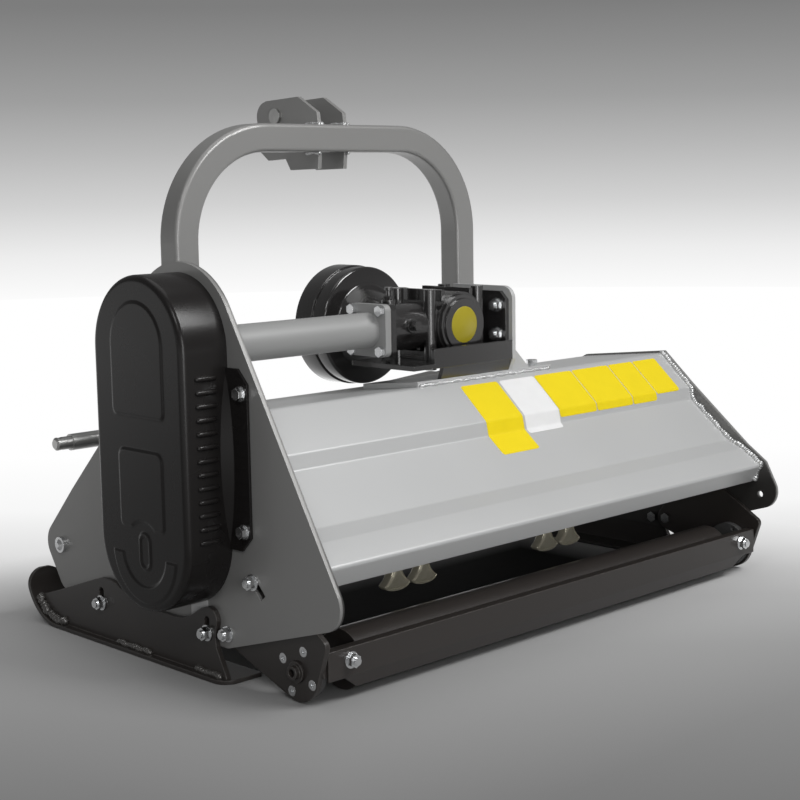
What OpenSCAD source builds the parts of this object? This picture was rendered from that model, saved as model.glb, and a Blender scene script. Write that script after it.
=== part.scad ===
// Rear-mounted flail mower for a three-point hitch, with belt drive on its left side.
// Millimetres. +X is the machine's right, +Y is forward, +Z is up; the roller and skids stand on z = 0.

/* [Housing] */
// distance between the two side plates
inner_width = 1050; // [1030:5:1100]
// thickness of a side plate
plate_t = 8; // [6:1:8]
// thickness of the hood sheet
hood_t = 4; // [3:0.5:5]
// radius of the left plate's rounded top
plate_top_r = 126; // [122:1:132]

/* [Drive] */
// height of the cross shaft and gearbox
shaft_z = 474; // [470:1:480]
// height of the rotor shaft
rotor_z = 198; // [196:1:204]
// outer radius of the upper pulley
upper_r = 90; // [84:1:94]
// outer radius of the lower pulley
lower_r = 60; // [56:1:66]
// pitch radius of the crown wheel
crown_r = 42; // [38:1:43]
// crown wheel teeth per pinion tooth
gear_ratio = 2.5; // [2.4:0.1:2.8]
// radius of the cross shaft
shaft_r = 17.5; // [16:0.5:18]
// radius of the PTO input shaft
pto_r = 17.45; // [17.45:0.05:17.6]
// depth of the belt cover
cover_d = 80; // [78:1:90]
// outer radius of the axle tube
axle_r = 28.5; // [26:0.5:29]
// outer radius of the PTO guard bowl
bowl_r = 105; // [98:1:108]

/* [Rotor] */
// outer radius of the rotor drum
drum_r = 51; // [48:1:54]
// radius of the circle of hammer bolts
pivot_r = 88; // [86:1:90]
// length of a hammer from its bolt to its edge
hammer_l = 66; // [62:1:67]
// space between the edges of neighbouring hammers
hammer_gap = 2; // [2:0.5:8]
// radius of a hammer bolt
hammer_bolt_r = 8; // [7:0.5:8]

/* [Hitch] */
// side of the square mast tube
tube_side = 48; // [42:1:50]
// outer width of the mast
mast_width = 706; // [690:2:720]
// height of the mast
mast_top = 810; // [800:1:815]
// centre line radius of the mast bends
bend_r = 172; // [150:1:180]
// length of a lower link pin from its hitch arm to its shoulder
pin_reach = 83.5; // [76:0.5:92]
// radius of the inner step of a lower link pin
pin_r = 14; // [13:0.5:14]
// radius of the outer step of a lower link pin
pin_tip_r = 11; // [9.5:0.5:11]
// radius of the top link pin
top_pin_r = 9.5; // [9:0.25:10]
// clear distance between the top link plates
top_gap = 52; // [46:1:56]

/* [Ground gear] */
// radius of the rear roller
roller_r = 44; // [40:1:44]
// radius of the roller axle
axle_pin_r = 15; // [13:0.5:16]
// thickness of a roller arm
arm_t = 8; // [6:1:8]
// width of a skid shoe
skid_w = 68; // [60:1:74]
// travel of a skid on its bolts
skid_travel = 18; // [12:1:22]
// radius of the frame bolts
bolt_r = 6; // [5:0.5:6]

/* [Hidden] */
$fn = 64;

// overrun of a cut past the face it leaves
over = 2;
// radial play of a running fit, of a seat and of a plain bolt hole
run_play = 0.06;
seat_play = 0.05;
hole_play = 0.1;
// how far an outline's straight sides run inside its round corners
tuck = 0.05;
// space between parts that slide past each other
slip = 0.3;
half_in = inner_width / 2;
half_out = half_in + plate_t;

// corners of the side plates: centre y, centre z, radius
rear_corner = [-295, 150, 36];
heel_corner = [-85, 76, 27];
toe_corner = [325, 90, 30];
nose_corner = [350, 135, 34];
front_corners = [[304, 231, 0], [220, 312, 0]];
front_top = [plate_top_r, 440, 0];

// hood outline from the front edge over the top to the rear lip
hood_line = [[330, 200], [225, 300], [113, 365], [-70, 383], [-135, 324], [-140, 301], [-222, 234],
  [-251, 222], [-291, 195], [-274, 164]];
// right side plate where it follows the hood
right_corners = [[113, 368, 0], [-72, 387, 0], [-139, 327, 0], [-256, 229, 0], [-296, 201, 0]];
right_corner = [-288, 148, 32];
right_hole = [-287, 141];
right_hole_r = 6;

// mast
mast_y = 272.5;
mast_wall = 4;
mast_round = 7;
mast_leg_z = 300;
mast_x = mast_width / 2 - tube_side / 2;
mast_axis_z = mast_top - tube_side / 2;

// hitch arms and lower pins
arm_cheek_t = 8;
pin_y = 445;
pin_z = 280;
pin_boss_r = 24;
pin_eye_r = 30;
pin_tip_l = 30;
pin_chamfer = 3;
clip_r = 5;
clip_inset = 10;
cheek_back = 232;
cheek_foot = 318;
cheek_top = 340;
cheek_step = 325;
cheek_nose_deg = 75;

// top link plates
top_t = 8;
top_pin_out = 99.5;
top_pin_up = 18;
top_pin_y = mast_y + top_pin_out;
top_pin_z = mast_top + top_pin_up;
top_front_r = 27;
top_back = 14.5;
top_rear = mast_y - top_back;
// corners above and below the mast, from the middle of the tube's top
top_above = [[128.5, 46], [38.5, 50], [-11, 21]];
top_below = [[-11.5, -77], [62.5, -78], [75.5, -58], [123.5, -60], [145.5, -44]];
top_upper = [for (p = top_above) [mast_y, mast_top] + p];
top_lower = [for (p = top_below) [mast_y, mast_top] + p];
top_pin_head = 5;
top_pin_head_r = 14;

// gearbox
case_r = 54;
case_back = -48;
case_front = 70;
case_wall = 8;
arm_r = 38;
arm_end = -154;
flange_t = 12;
flange_half = 42;
flange_round = 10;
flange_bolt = 32.5;
neck_r = 36;
neck_end = 118;
collar_r = 56;
collar_y = 88;
collar_t = 10;
pad_w = 120;
pad_d = 104;
pad_z = 418;
pad_h = 14;
rib_t = 8;
rib_half = 58;
cap_t = 8;
cap_r = 50;
cap_spigot = 8;
cap_step = 3;
cap_face_r = 43;
inner_r = case_r - case_wall;
bore_r = crown_r / gear_ratio + case_wall / 2;
plug_r = 9;
plug_h = 12;
plug_hole = 6;
boss_r = 12;
boss_h = 8;
boss_low = 4;
breather_x = -118;
breather_stem_r = 4;
breather_stem = 9;
breather_cap_r = 6.5;
breather_cap = 5;
drain_x = -104;
drain_z = 479;
column_r = 10.5;
column_h = 116;

// gears
mesh_gap = 0.4;
crown_hub_r = 27;
gear_face_share = 0.55;
pinion_seat_r = 7;
pinion_tail = 10;
crown_back = -8;

// PTO shaft
pto_end = 228;
spline_n = 6;
spline_from = 136;
spline_w = 8;
spline_depth = 2.6;

// PTO guard
bowl_t = 3;
bowl_drop = 14;
bowl_hole_r = neck_r + bowl_drop + slip;
bowl_neck_r = 55;
bowl_bell_r = 73;
bowl_back = collar_y + collar_t;
bowl_step = 178;
bowl_rim = 2.5;
bowl_mid_r = bowl_r - bowl_rim;
bowl_mid = 208;
bowl_front = 250;

// gearbox cradle and stand
cradle_t = 8;
cradle_left = -137;
cradle_right = 97;
cradle_back = -75;
cradle_front = 70;
cradle_lip_left = -90;
cradle_lip_h = 24;
cradle_side_h = 114;
cradle_bolt_y = [-48, 25];
cradle_bolt_dz = [33, 82];
cradle_corner = 22;
stand_t = 8;
foot_left = -120;
foot_right = 206;
foot_back = -66;
foot_front = 62;
skirt_left = -67;
gusset_run = 46;
gusset_rise = 44;
gusset_y = -64;
foot_bolt_x = 186;
foot_bolt_y = -40;
pad_bolt_x = 56;
pad_bolt_y = [-32, 44];

// axle tube
axle_wall = 6;
axle_seat = 24;
axle_collar = 55;
axle_collar_step = 2;
shaft_out = 66;
shaft_left = -half_out - shaft_out;

// belts and pulleys
belt_n = 2;
belt_pitch = 20;
belt_w = 16;
belt_h = 11;
belt_base = 10;
belt_gap = 0.4;
belt_out = 37;
belt_x = -half_out - belt_out;
pulley_w = 44;
groove_floor = 1.5;
pulley_hub_r = 30;
pulley_dish = 10;
pulley_rim = 12;

// belt cover
cover_r = 107;
cover_top_up = 4;
cover_low_up = 12;
cover_wall = 3;
cover_round = 9;
strip_w = [46, 34];
strip_t = 4;
strip_z = [206, 456];
strip_round = 20;
strip_bolt_z = [228, 422];
strip_bolt_out = [33, 14];
strip_y = [-cover_r - strip_w[0], cover_r + strip_w[1]];
strip_bolt_y = [-cover_r - strip_bolt_out[0], cover_r + strip_bolt_out[1]];
louvre_n = 13;
louvre_z = 212;
louvre_pitch = 19.1;
louvre_h = 5;
louvre_w = 36;
louvre_x = 20;
cover_bolt_r = 5;

// rotor
drum_wall = 8;
drum_inset = 35;
drum_half = half_in - drum_inset;
end_t = 12;
stub_r = 20;
stub_left = shaft_left;
stub_out = 16;
stub_right = half_out + stub_out;
lug_t = 8;
lug_gap = 26;
lug_r = 15;
lug_base = 19;
lug_bite = 6;
lug_inset = 25;
hammer_n = 16;
hammer_pitch = 2 * (drum_half - lug_inset) / (hammer_n - 1);
hammer_w = hammer_pitch - hammer_gap;
hammer_play = 0.08;
hammer_eye_r = 15;
hammer_neck = 24;
hammer_thin = 12;
hammer_thick = 20;
hammer_bevel = 8;
hammer_flare_shares = [0.42, 0.66, 0.74];
hammer_edge_share = 0.62;
hammer_head_r = 11;
hammer_head = 8;
row_deg = 120;
row_start = 28;
fold_deg = 105;

// rotor bearings
bearing_disc_r = 55;
bearing_disc = 10;
bearing_hub_r = 36;
bearing_hub = 26;

// skids
skid_z = 0;
skid_t = 6;
skid_plate_t = 8;
skid_back = -104;
skid_bend = 338;
skid_nose_r = 87;
skid_nose_deg = 87;
skid_ledge = 12;
skid_heel_r = 25;
skid_corner_share = 0.47;
skid_corner = skid_w * skid_corner_share;
skid_front_bolt = [219, 62];
skid_rear_bolt = [-52, 67];
// outline of a skid plate: directions of its front edge on the shoe's curve, then the front lug, then the
// rear lug and the heel
skid_front_deg = [-90, -76, -62, -48, -34];
skid_web = [[338, 62], [235, 97], [221, 101.4], [206, 103], [191, 102.2], [178, 99.5], [158, 90], [138, 82],
  [112, 77]];
skid_heel = [[30, 76], [8, 78], [-12, 85], [-26, 94], [-40, 102], [-51, 105.5], [-60, 105.5], [-68, 102],
  [-73, 95.5], [-75, 88], [-72, 74], [-70, 61], [-72, 47], [-80, 33], [-90, 15], [-95, 3]];
slot_play = 0.5;

// roller arms, hinged on the pivot bolts
arm_pivot = [-90, 71];
arm_clamp = [-150, 157];
arm_hub = [-231, 44];
arm_tail = [-280, 88];
arm_eye_r = 21;
arm_hub_r = 43;
arm_tail_r = 11;
clamp_deg = 12.5;
hub_t = 12;
hub_r = 39;
screw_ring = 33;
screw_start = 23;
screw_r = 4;
screw_head_r = 7.5;
socket_r = 3.4;
socket_h = 3;
screw_head = 4;
screw_l = 18;
roller_inset = 80;
roller_half = half_in - roller_inset;
roller_wall = 5;
axle_centre_r = 6;
axle_out = 4;
axle_nose = 11;
axle_nose_r = 10;
axle_centre = 10;

// scraper bar
bar_t = 4;
bar_y = -283;
bar_top = 78;
bar_low = 38;
bar_lip = [-276, 17];
bar_flange = 16;
bar_inset = 12;
bar_half = half_in - bar_inset;
bar_lip_cut = 60;
tab_w = 62;
tab_t = 6;
tab_z = [42, 73];
bar_bolt_inset = 53;
bar_bolt_z = 60;
bar_bolt = [half_in - bar_bolt_inset, bar_bolt_z];

// fasteners
washer_r = 12;
washer_t = 2;
head_r = 10;
head_h = 8;
nut_h = 9;
thread_out = 4;
rod_at = [340, 135];
rod_r = 8;
rod_dome_r = 13;
rod_dome = 6;
rod_tip = 4;

function unit(v) = v / norm(v);
function left_of(a, b) = let (d = unit(b - a)) [-d[1], d[0]];
function inset(p, i, t) = let (
  n0 = i == 0 ? left_of(p[0], p[1]) : left_of(p[i - 1], p[i]),
  n1 = i == len(p) - 1 ? n0 : left_of(p[i], p[i + 1]),
  m = n0 + n1) p[i] + t * m * 2 / (m * m);
function band(p, t) = concat(p, [for (i = [len(p) - 1:-1:0]) inset(p, i, t)]);
function lean(a, b) = atan2(b[1] - a[1], b[0] - a[0]);
function wrap_deg(ra, rb, a, b) = acos((ra - rb) / norm(b - a));
function polar(c, r, deg) = c + r * [cos(deg), sin(deg)];
function xy(c) = [c[0], c[1]];
function hood_at(y) = hood_line[2][1] + (hood_line[3][1] - hood_line[2][1])
  * (y - hood_line[2][0]) / (hood_line[3][0] - hood_line[2][0]);
function slope_at(y) = hood_line[1][1] + (hood_line[0][1] - hood_line[1][1])
  * (y - hood_line[1][0]) / (hood_line[0][0] - hood_line[1][0]);

// hammers: sideways place, row direction and hanging direction, degrees from straight down to the rear
function hammer_x(i) = (i - (hammer_n - 1) / 2) * hammer_pitch;
function hammer_row(i) = floor((i + 1) / 2) % 3;
function row_dir(i) = [row_start, row_start - row_deg, row_start + row_deg][hammer_row(i)];
function hang_dir(i) = abs(row_dir(i)) < fold_deg ? 0 : row_dir(i) - sign(row_dir(i)) * fold_deg;
function down(deg) = [-sin(deg), -cos(deg)];
function pivot_at(i) = [0, rotor_z] + pivot_r * down(row_dir(i));

// a flat shape in y and z, drawn out from x0 to x1
module span(x0, x1) {
  translate([x0, 0, 0])
    rotate([90, 0, 90])
      linear_extrude(x1 - x0)
        children();
}

module rod_x(x0, x1, r, at) {
  translate([x0, at[0], at[1]])
    rotate([0, 90, 0])
      cylinder(h = x1 - x0, r = r);
}

module cone_x(x0, x1, r0, r1, at) {
  translate([x0, at[0], at[1]])
    rotate([0, 90, 0])
      cylinder(h = x1 - x0, r1 = r0, r2 = r1);
}

module rod_y(y0, y1, r, at) {
  translate([at[0], y0, at[1]])
    rotate([-90, 0, 0])
      cylinder(h = y1 - y0, r = r);
}

module box(a, b) {
  translate(a)
    cube(b - a);
}

// outline round two circles
module link(a, ra, b, rb) {
  w = wrap_deg(ra, rb, a, b);
  l = lean(a, b);
  translate(a)
    circle(ra);
  translate(b)
    circle(rb);
  polygon([polar(a, ra, l + w), polar(b, rb, l + w), polar(b, rb, l - w), polar(a, ra, l - w)]);
}

module rounded(side, r) {
  square([side, side - 2 * r], center = true);
  square([side - 2 * r, side], center = true);
  for (i = [-1, 1], j = [-1, 1])
    translate([i, j] * (side / 2 - r))
      circle(r);
}

module both() {
  children();
  mirror([1, 0, 0])
    children();
}

// slot on an arc round the arm pivot
module arc_slot() {
  rad = norm(arm_clamp - arm_pivot);
  at = lean(arm_pivot, arm_clamp);
  wide = bolt_r + slot_play;
  end = asin(wide / rad);
  far = rad * 2;
  translate(arm_pivot)
    intersection() {
      difference() {
        circle(rad + wide);
        circle(rad - wide);
      }
      polygon([[0, 0], polar([0, 0], far, at - end), polar([0, 0], far, at + clamp_deg + end)]);
    }
}

module spot(at, r) {
  translate(at)
    circle(r);
}

// outline through round corners, counter-clockwise; a corner of radius 0 stays sharp
function tucked(r) = max(r - tuck, 0);
module outline(c) {
  polygon([for (i = [0:len(c) - 1], k = [0, 1]) let (
    a = c[i],
    b = c[(i + 1) % len(c)],
    ra = tucked(a[2]),
    rb = tucked(b[2]),
    deg = lean(xy(a), xy(b)) - wrap_deg(ra, rb, xy(a), xy(b)))
    if (k == 0 || rb > 0)
      k == 0 ? polar(xy(a), ra, deg) : polar(xy(b), rb, deg)]);
  for (a = c)
    if (a[2] > 0)
      spot(xy(a), a[2]);
}

// holes that both side plates carry
module plate_holes() {
  spot([0, rotor_z], bearing_hub_r + seat_play);
  spot(arm_pivot, bolt_r + hole_play);
  spot(skid_front_bolt, bolt_r + hole_play);
  spot(skid_rear_bolt, bolt_r + hole_play);
  spot(rod_at, rod_r + hole_play);
  arc_slot();
}

module side_plate_left() {
  color([0.62, 0.63, 0.63])
    span(-half_out, -half_in)
      difference() {
        outline(concat([nose_corner], front_corners, [front_top, [0, shaft_z, plate_top_r], rear_corner,
          heel_corner, toe_corner]));
        plate_holes();
        spot([0, shaft_z], shaft_r + slip + over);
        for (z = strip_bolt_z, y = strip_bolt_y)
          spot([y, z], cover_bolt_r + hole_play);
      }
}

module side_plate_right() {
  color([0.62, 0.63, 0.63])
    span(half_in, half_out)
      difference() {
        outline(concat([nose_corner], front_corners, right_corners,
          [right_corner, heel_corner, toe_corner]));
        plate_holes();
        spot(right_hole, right_hole_r);
      }
}

module hood() {
  color([0.72, 0.73, 0.73])
    span(-half_in, half_in)
      polygon(band(hood_line, hood_t));
}

module tube_2d() {
  difference() {
    rounded(tube_side, mast_round);
    rounded(tube_side - 2 * mast_wall, mast_round - mast_wall);
  }
}

module mast_tube() {
  color([0.6, 0.61, 0.62]) {
    both()
      translate([mast_x, mast_y, mast_leg_z])
        linear_extrude(mast_axis_z - bend_r - mast_leg_z)
          tube_2d();
    both()
      translate([mast_x - bend_r, mast_y, mast_axis_z - bend_r])
        rotate([90, 0, 0])
          rotate_extrude(angle = 90)
            translate([bend_r, 0])
              tube_2d();
    span(bend_r - mast_x, mast_x - bend_r)
      translate([mast_y, mast_axis_z])
        tube_2d();
  }
}

module cheek_2d() {
  difference() {
    union() {
      spot([pin_y, pin_z], pin_eye_r);
      polygon([[cheek_back, slope_at(cheek_back)], [cheek_foot, slope_at(cheek_foot)],
        [pin_y, pin_z - pin_eye_r], [pin_y, pin_z], polar([pin_y, pin_z], pin_eye_r, cheek_nose_deg),
        [cheek_step, cheek_top], [cheek_back, cheek_top]]);
    }
    spot([pin_y, pin_z], pin_r + seat_play);
  }
}

module hitch_arm_right() {
  color([0.6, 0.61, 0.62]) {
    for (x = [mast_x - tube_side / 2 - arm_cheek_t, mast_x + tube_side / 2])
      span(x, x + arm_cheek_t)
        cheek_2d();
    span(mast_x - tube_side / 2, mast_x + tube_side / 2)
      difference() {
        spot([pin_y, pin_z], pin_boss_r);
        spot([pin_y, pin_z], pin_r + seat_play);
      }
  }
}

module hitch_arm_left() {
  mirror([1, 0, 0])
    hitch_arm_right();
}

module hitch_pins() {
  at = [pin_y, pin_z];
  shoulder = mast_x + tube_side / 2 + arm_cheek_t + pin_reach;
  end = shoulder + pin_tip_l;
  color([0.75, 0.75, 0.74])
    both()
      difference() {
        union() {
          rod_x(mast_x - tube_side / 2 - arm_cheek_t, shoulder, pin_r, at);
          rod_x(shoulder, end - pin_chamfer, pin_tip_r, at);
          cone_x(end - pin_chamfer, end, pin_tip_r, pin_tip_r - pin_chamfer, at);
        }
        translate([end - clip_inset, pin_y, pin_z - pin_r])
          cylinder(h = 2 * pin_r, r = clip_r);
      }
}

module top_plate_2d() {
  low = mast_top - tube_side;
  difference() {
    union() {
      spot([top_pin_y + top_front_r, top_pin_z], top_front_r);
      polygon(concat(top_upper, [[top_rear, mast_top], [mast_y + tube_side / 2, mast_top],
        [mast_y + tube_side / 2, low], [top_rear, low]], top_lower,
        [[top_pin_y + 2 * top_front_r, top_pin_z]]));
    }
    spot([top_pin_y, top_pin_z], top_pin_r + seat_play);
  }
}

module top_plate_right() {
  color([0.5, 0.5, 0.5])
    span(top_gap / 2, top_gap / 2 + top_t)
      top_plate_2d();
}

module top_plate_left() {
  mirror([1, 0, 0])
    top_plate_right();
}

module top_pin() {
  at = [top_pin_y, top_pin_z];
  end = top_gap / 2 + top_t;
  color([0.7, 0.7, 0.7]) {
    rod_x(-end - top_pin_head, -end, top_pin_head_r, at);
    rod_x(-end, end + clip_inset, top_pin_r, at);
  }
}

// foot sheet on the hood's top, upright plates and a gusset
module gearbox_stand() {
  inner = cradle_right;
  color([0.66, 0.67, 0.67])
    difference() {
      union() {
        span(foot_left, foot_right)
          polygon([[foot_back, hood_at(foot_back)], [foot_front, hood_at(foot_front)],
            [foot_front, hood_at(foot_front) + stand_t], [foot_back, hood_at(foot_back) + stand_t]]);
        span(inner, inner + stand_t)
          union() {
            polygon([[foot_back, hood_at(foot_back) + stand_t], [foot_front, hood_at(foot_front) + stand_t],
              [foot_front, pad_z + cradle_side_h], [cradle_back + cradle_corner, pad_z + cradle_side_h],
              [cradle_back + cradle_corner, pad_z + cradle_side_h - cradle_corner],
              [cradle_back, pad_z + cradle_side_h - cradle_corner], [cradle_back, pad_z - cradle_t]]);
            spot([cradle_back + cradle_corner, pad_z + cradle_side_h - cradle_corner], cradle_corner);
          }
        translate([inner + stand_t, gusset_y + stand_t, hood_at(gusset_y) + stand_t])
          rotate([90, 0, 0])
            linear_extrude(stand_t)
              polygon([[0, 0], [gusset_run, 0], [0, gusset_rise]]);
      }
      for (y = cradle_bolt_y, dz = cradle_bolt_dz)
        rod_x(inner - over, inner + stand_t + over, bolt_r + hole_play, [y, pad_z + dz]);
      translate([foot_bolt_x, foot_bolt_y, hood_at(foot_bolt_y) - over])
        cylinder(h = stand_t + over * 2, r = bolt_r + hole_play);
    }
}

module gearbox_cradle() {
  low = pad_z - cradle_t;
  lip = cradle_right - cradle_t;
  color([0.06, 0.06, 0.06])
    difference() {
      union() {
        box([cradle_left, cradle_back, low], [cradle_right, cradle_front, pad_z]);
        box([cradle_lip_left, cradle_back, low],
          [cradle_right, cradle_back + cradle_t, pad_z + cradle_lip_h]);
        span(skirt_left, cradle_right)
          polygon([[cradle_back, pad_z], [foot_back, hood_at(foot_back) + stand_t],
            [foot_back + cradle_t, hood_at(foot_back + cradle_t) + stand_t],
            [cradle_back + cradle_t, pad_z]]);
        span(lip, cradle_right) {
          polygon([[cradle_back, low], [cradle_front, low], [cradle_front, pad_z + cradle_side_h - cradle_t],
            [cradle_back + cradle_corner, pad_z + cradle_side_h - cradle_t],
            [cradle_back + cradle_t, pad_z + cradle_side_h - cradle_corner],
            [cradle_back + cradle_t, pad_z + cradle_lip_h], [cradle_back, pad_z + cradle_lip_h]]);
        }
      }
      for (y = cradle_bolt_y, dz = cradle_bolt_dz)
        rod_x(lip - over, cradle_right + over, bolt_r + hole_play, [y, pad_z + dz]);
      for (x = [-pad_bolt_x, pad_bolt_x], y = pad_bolt_y)
        translate([x, y, low - over])
          cylinder(h = cradle_t + over * 2, r = bolt_r + hole_play);
    }
}

module gearbox_case() {
  c = [0, shaft_z];
  color([0.05, 0.05, 0.05])
    difference() {
      union() {
        rod_y(case_back, case_front, case_r, c);
        rod_y(case_front - over, neck_end, neck_r, c);
        rod_y(collar_y, collar_y + collar_t, collar_r, c);
        rod_x(arm_end, 0, arm_r, c);
        span(arm_end, arm_end + flange_t)
          translate([0, shaft_z])
            rounded(2 * flange_half, flange_round);
        box([-pad_w / 2, -pad_d / 2 + case_wall, pad_z], [pad_w / 2, pad_d / 2 + case_wall, pad_z + pad_h]);
        box([-pad_w / 2 + rib_t, -rib_t / 2, pad_z], [pad_w / 2 - rib_t, rib_t / 2, shaft_z]);
        box([-rib_half, case_front / 2, shaft_z - rib_t / 2],
          [rib_half, case_front / 2 + rib_t, shaft_z + rib_t / 2]);
        for (x = [-rib_half / 2 - rib_t, rib_half / 2])
          box([x, case_back + rib_t, shaft_z], [x + rib_t, case_front, shaft_z + rib_half]);
        for (x = [-pad_bolt_x, pad_bolt_x], y = pad_bolt_y)
          translate([x, y, pad_z])
            cylinder(h = column_h, r = column_r);
        translate([breather_x, 0, shaft_z])
          cylinder(h = arm_r + boss_h, r = boss_r);
        translate([drain_x, 0, 0])
          rod_y(-arm_r - boss_low, 0, boss_r, [0, drain_z]);
      }
      rod_y(case_back - over, case_front - case_wall, inner_r, c);
      rod_y(case_front - case_wall - over, neck_end + over, pto_r + run_play, c);
      rod_x(arm_end - over, 0, bore_r, c);
      for (s = [-1, 1], t = [-1, 1])
        rod_x(arm_end - over, arm_end + flange_t + over, cover_bolt_r + hole_play, c + flange_bolt * [s, t]);
      for (x = [-pad_bolt_x, pad_bolt_x], y = pad_bolt_y)
        translate([x, y, pad_z - over])
          cylinder(h = pad_h + over - rib_t / 2, r = bolt_r + hole_play);
      translate([breather_x, 0, shaft_z])
        cylinder(h = arm_r + boss_h + over, r = plug_hole + seat_play);
      translate([drain_x, 0, 0])
        rod_y(-arm_r - boss_low - over, 0, plug_hole + seat_play, [0, drain_z]);
    }
}

module gearbox_cap() {
  c = [0, shaft_z];
  color([0.05, 0.05, 0.05])
    difference() {
      union() {
        rod_y(case_back - cap_t, case_back, cap_face_r, c);
        rod_y(case_back - cap_t + cap_step, case_back, cap_r, c);
        rod_y(case_back - over, case_back + cap_spigot, inner_r - seat_play, c);
      }
      rod_y(case_back - cap_t / 2, case_back + cap_spigot + over, pto_r + run_play, c);
    }
}

module gearbox_plugs() {
  seat = arm_r + boss_h;
  low = -arm_r - boss_low;
  color([0.12, 0.12, 0.12]) {
    translate([breather_x, 0, shaft_z]) {
      translate([0, 0, bore_r])
        cylinder(h = seat - bore_r, r = plug_hole);
      translate([0, 0, seat])
        cylinder(h = plug_h / 2, r = plug_r, $fn = 6);
      translate([0, 0, seat + plug_h / 2])
        cylinder(h = breather_stem, r = breather_stem_r);
      translate([0, 0, seat + plug_h / 2 + breather_stem])
        cylinder(h = breather_cap, r = breather_cap_r);
    }
    translate([drain_x, 0, 0]) {
      rod_y(low, -bore_r, plug_hole, [0, drain_z]);
      translate([0, low, drain_z])
        rotate([90, 0, 0])
          cylinder(h = plug_h, r = plug_r, $fn = 6);
    }
  }
}

// hex bolt along +X from its head's underside at x0, clamping up to x1 with a washer and a nut
module bolt_x(x0, x1, r, at) {
  translate([x0 - head_h, at[0], at[1]])
    rotate([0, 90, 0])
      cylinder(h = head_h, r = head_r, $fn = 6);
  rod_x(x0, x1 + washer_t + nut_h + thread_out, r, at);
  rod_x(x1, x1 + washer_t, washer_r, at);
  translate([x1 + washer_t, at[0], at[1]])
    rotate([0, 90, 0])
      cylinder(h = nut_h, r = head_r, $fn = 6);
}

module cradle_bolts() {
  color([0.78, 0.78, 0.76]) {
    for (y = cradle_bolt_y, dz = cradle_bolt_dz)
      mirror([1, 0, 0])
        bolt_x(-cradle_right - stand_t, -cradle_right + cradle_t, bolt_r, [y, pad_z + dz]);
    for (x = [-pad_bolt_x, pad_bolt_x], y = pad_bolt_y)
      translate([x, y, pad_z - cradle_t]) {
        translate([0, 0, -head_h])
          cylinder(h = head_h, r = head_r, $fn = 6);
        cylinder(h = cradle_t + pad_h - rib_t, r = bolt_r);
      }
    translate([foot_bolt_x, foot_bolt_y, hood_at(foot_bolt_y) + over]) {
      cylinder(h = stand_t, r = bolt_r);
      translate([0, 0, stand_t])
        cylinder(h = head_h, r = head_r, $fn = 6);
    }
  }
}

module axle_tube() {
  c = [0, shaft_z];
  inner = -half_in;
  color([0.66, 0.67, 0.67])
    difference() {
      union() {
        rod_x(inner, arm_end, axle_r, c);
        rod_x(inner, inner + axle_collar, axle_r + axle_collar_step, c);
        span(arm_end - flange_t, arm_end)
          translate([0, shaft_z])
            rounded(2 * flange_half, flange_round);
      }
      rod_x(inner - over, arm_end + over, shaft_r + run_play, c);
      rod_x(inner + axle_seat, arm_end - axle_seat, axle_r - axle_wall, c);
      for (s = [-1, 1], t = [-1, 1])
        rod_x(arm_end - flange_t - over, arm_end + over, cover_bolt_r + hole_play, c + flange_bolt * [s, t]);
    }
}

module axle_bolts() {
  color([0.78, 0.78, 0.76])
    for (s = [-1, 1], t = [-1, 1]) {
      at = [0, shaft_z] + flange_bolt * [s, t];
      translate([arm_end - flange_t - head_h, at[0], at[1]])
        rotate([0, 90, 0])
          cylinder(h = head_h, r = plug_r, $fn = 6);
      rod_x(arm_end - flange_t, arm_end + flange_t, cover_bolt_r, at);
    }
}

module pto_shaft() {
  c = [0, shaft_z];
  color([0.55, 0.55, 0.56])
    difference() {
      rod_y(case_back - cap_t / 2 + slip, pto_end, pto_r, c);
      for (i = [0:spline_n - 1])
        translate([0, 0, shaft_z])
          rotate([0, i * 360 / spline_n, 0])
            box([-spline_w / 2, spline_from, pto_r - spline_depth],
              [spline_w / 2, pto_end + over, pto_r + over]);
    }
}

module crown_wheel() {
  c = [0, shaft_z];
  near = crown_r / gear_ratio;
  small = crown_r * gear_face_share;
  color([0.5, 0.5, 0.5])
    difference() {
      union() {
        translate([0, -near, shaft_z])
          rotate([-90, 0, 0])
            cylinder(h = near * (1 - gear_face_share), r1 = crown_r, r2 = small);
        rod_y(-near + crown_back, -near, crown_r, c);
        rod_y(case_back + cap_spigot + slip, -near, crown_hub_r, c);
      }
      rod_y(case_back, 0, pto_r + seat_play, c);
    }
}

module pinion() {
  c = [0, shaft_z];
  big = crown_r / gear_ratio - mesh_gap * 2;
  color([0.5, 0.5, 0.5])
    difference() {
      union() {
        cone_x(-crown_r, -crown_r * gear_face_share, big, big * gear_face_share, c);
        rod_x(-crown_r - pinion_tail, -crown_r, big, c);
      }
      rod_x(-crown_r - pinion_tail - over, 0, pinion_seat_r + seat_play, c);
    }
}

module cross_shaft() {
  c = [0, shaft_z];
  color([0.6, 0.6, 0.6]) {
    rod_x(shaft_left, -crown_r - pinion_tail, shaft_r, c);
    rod_x(-crown_r - pinion_tail, -crown_r * gear_face_share, pinion_seat_r, c);
  }
}

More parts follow.
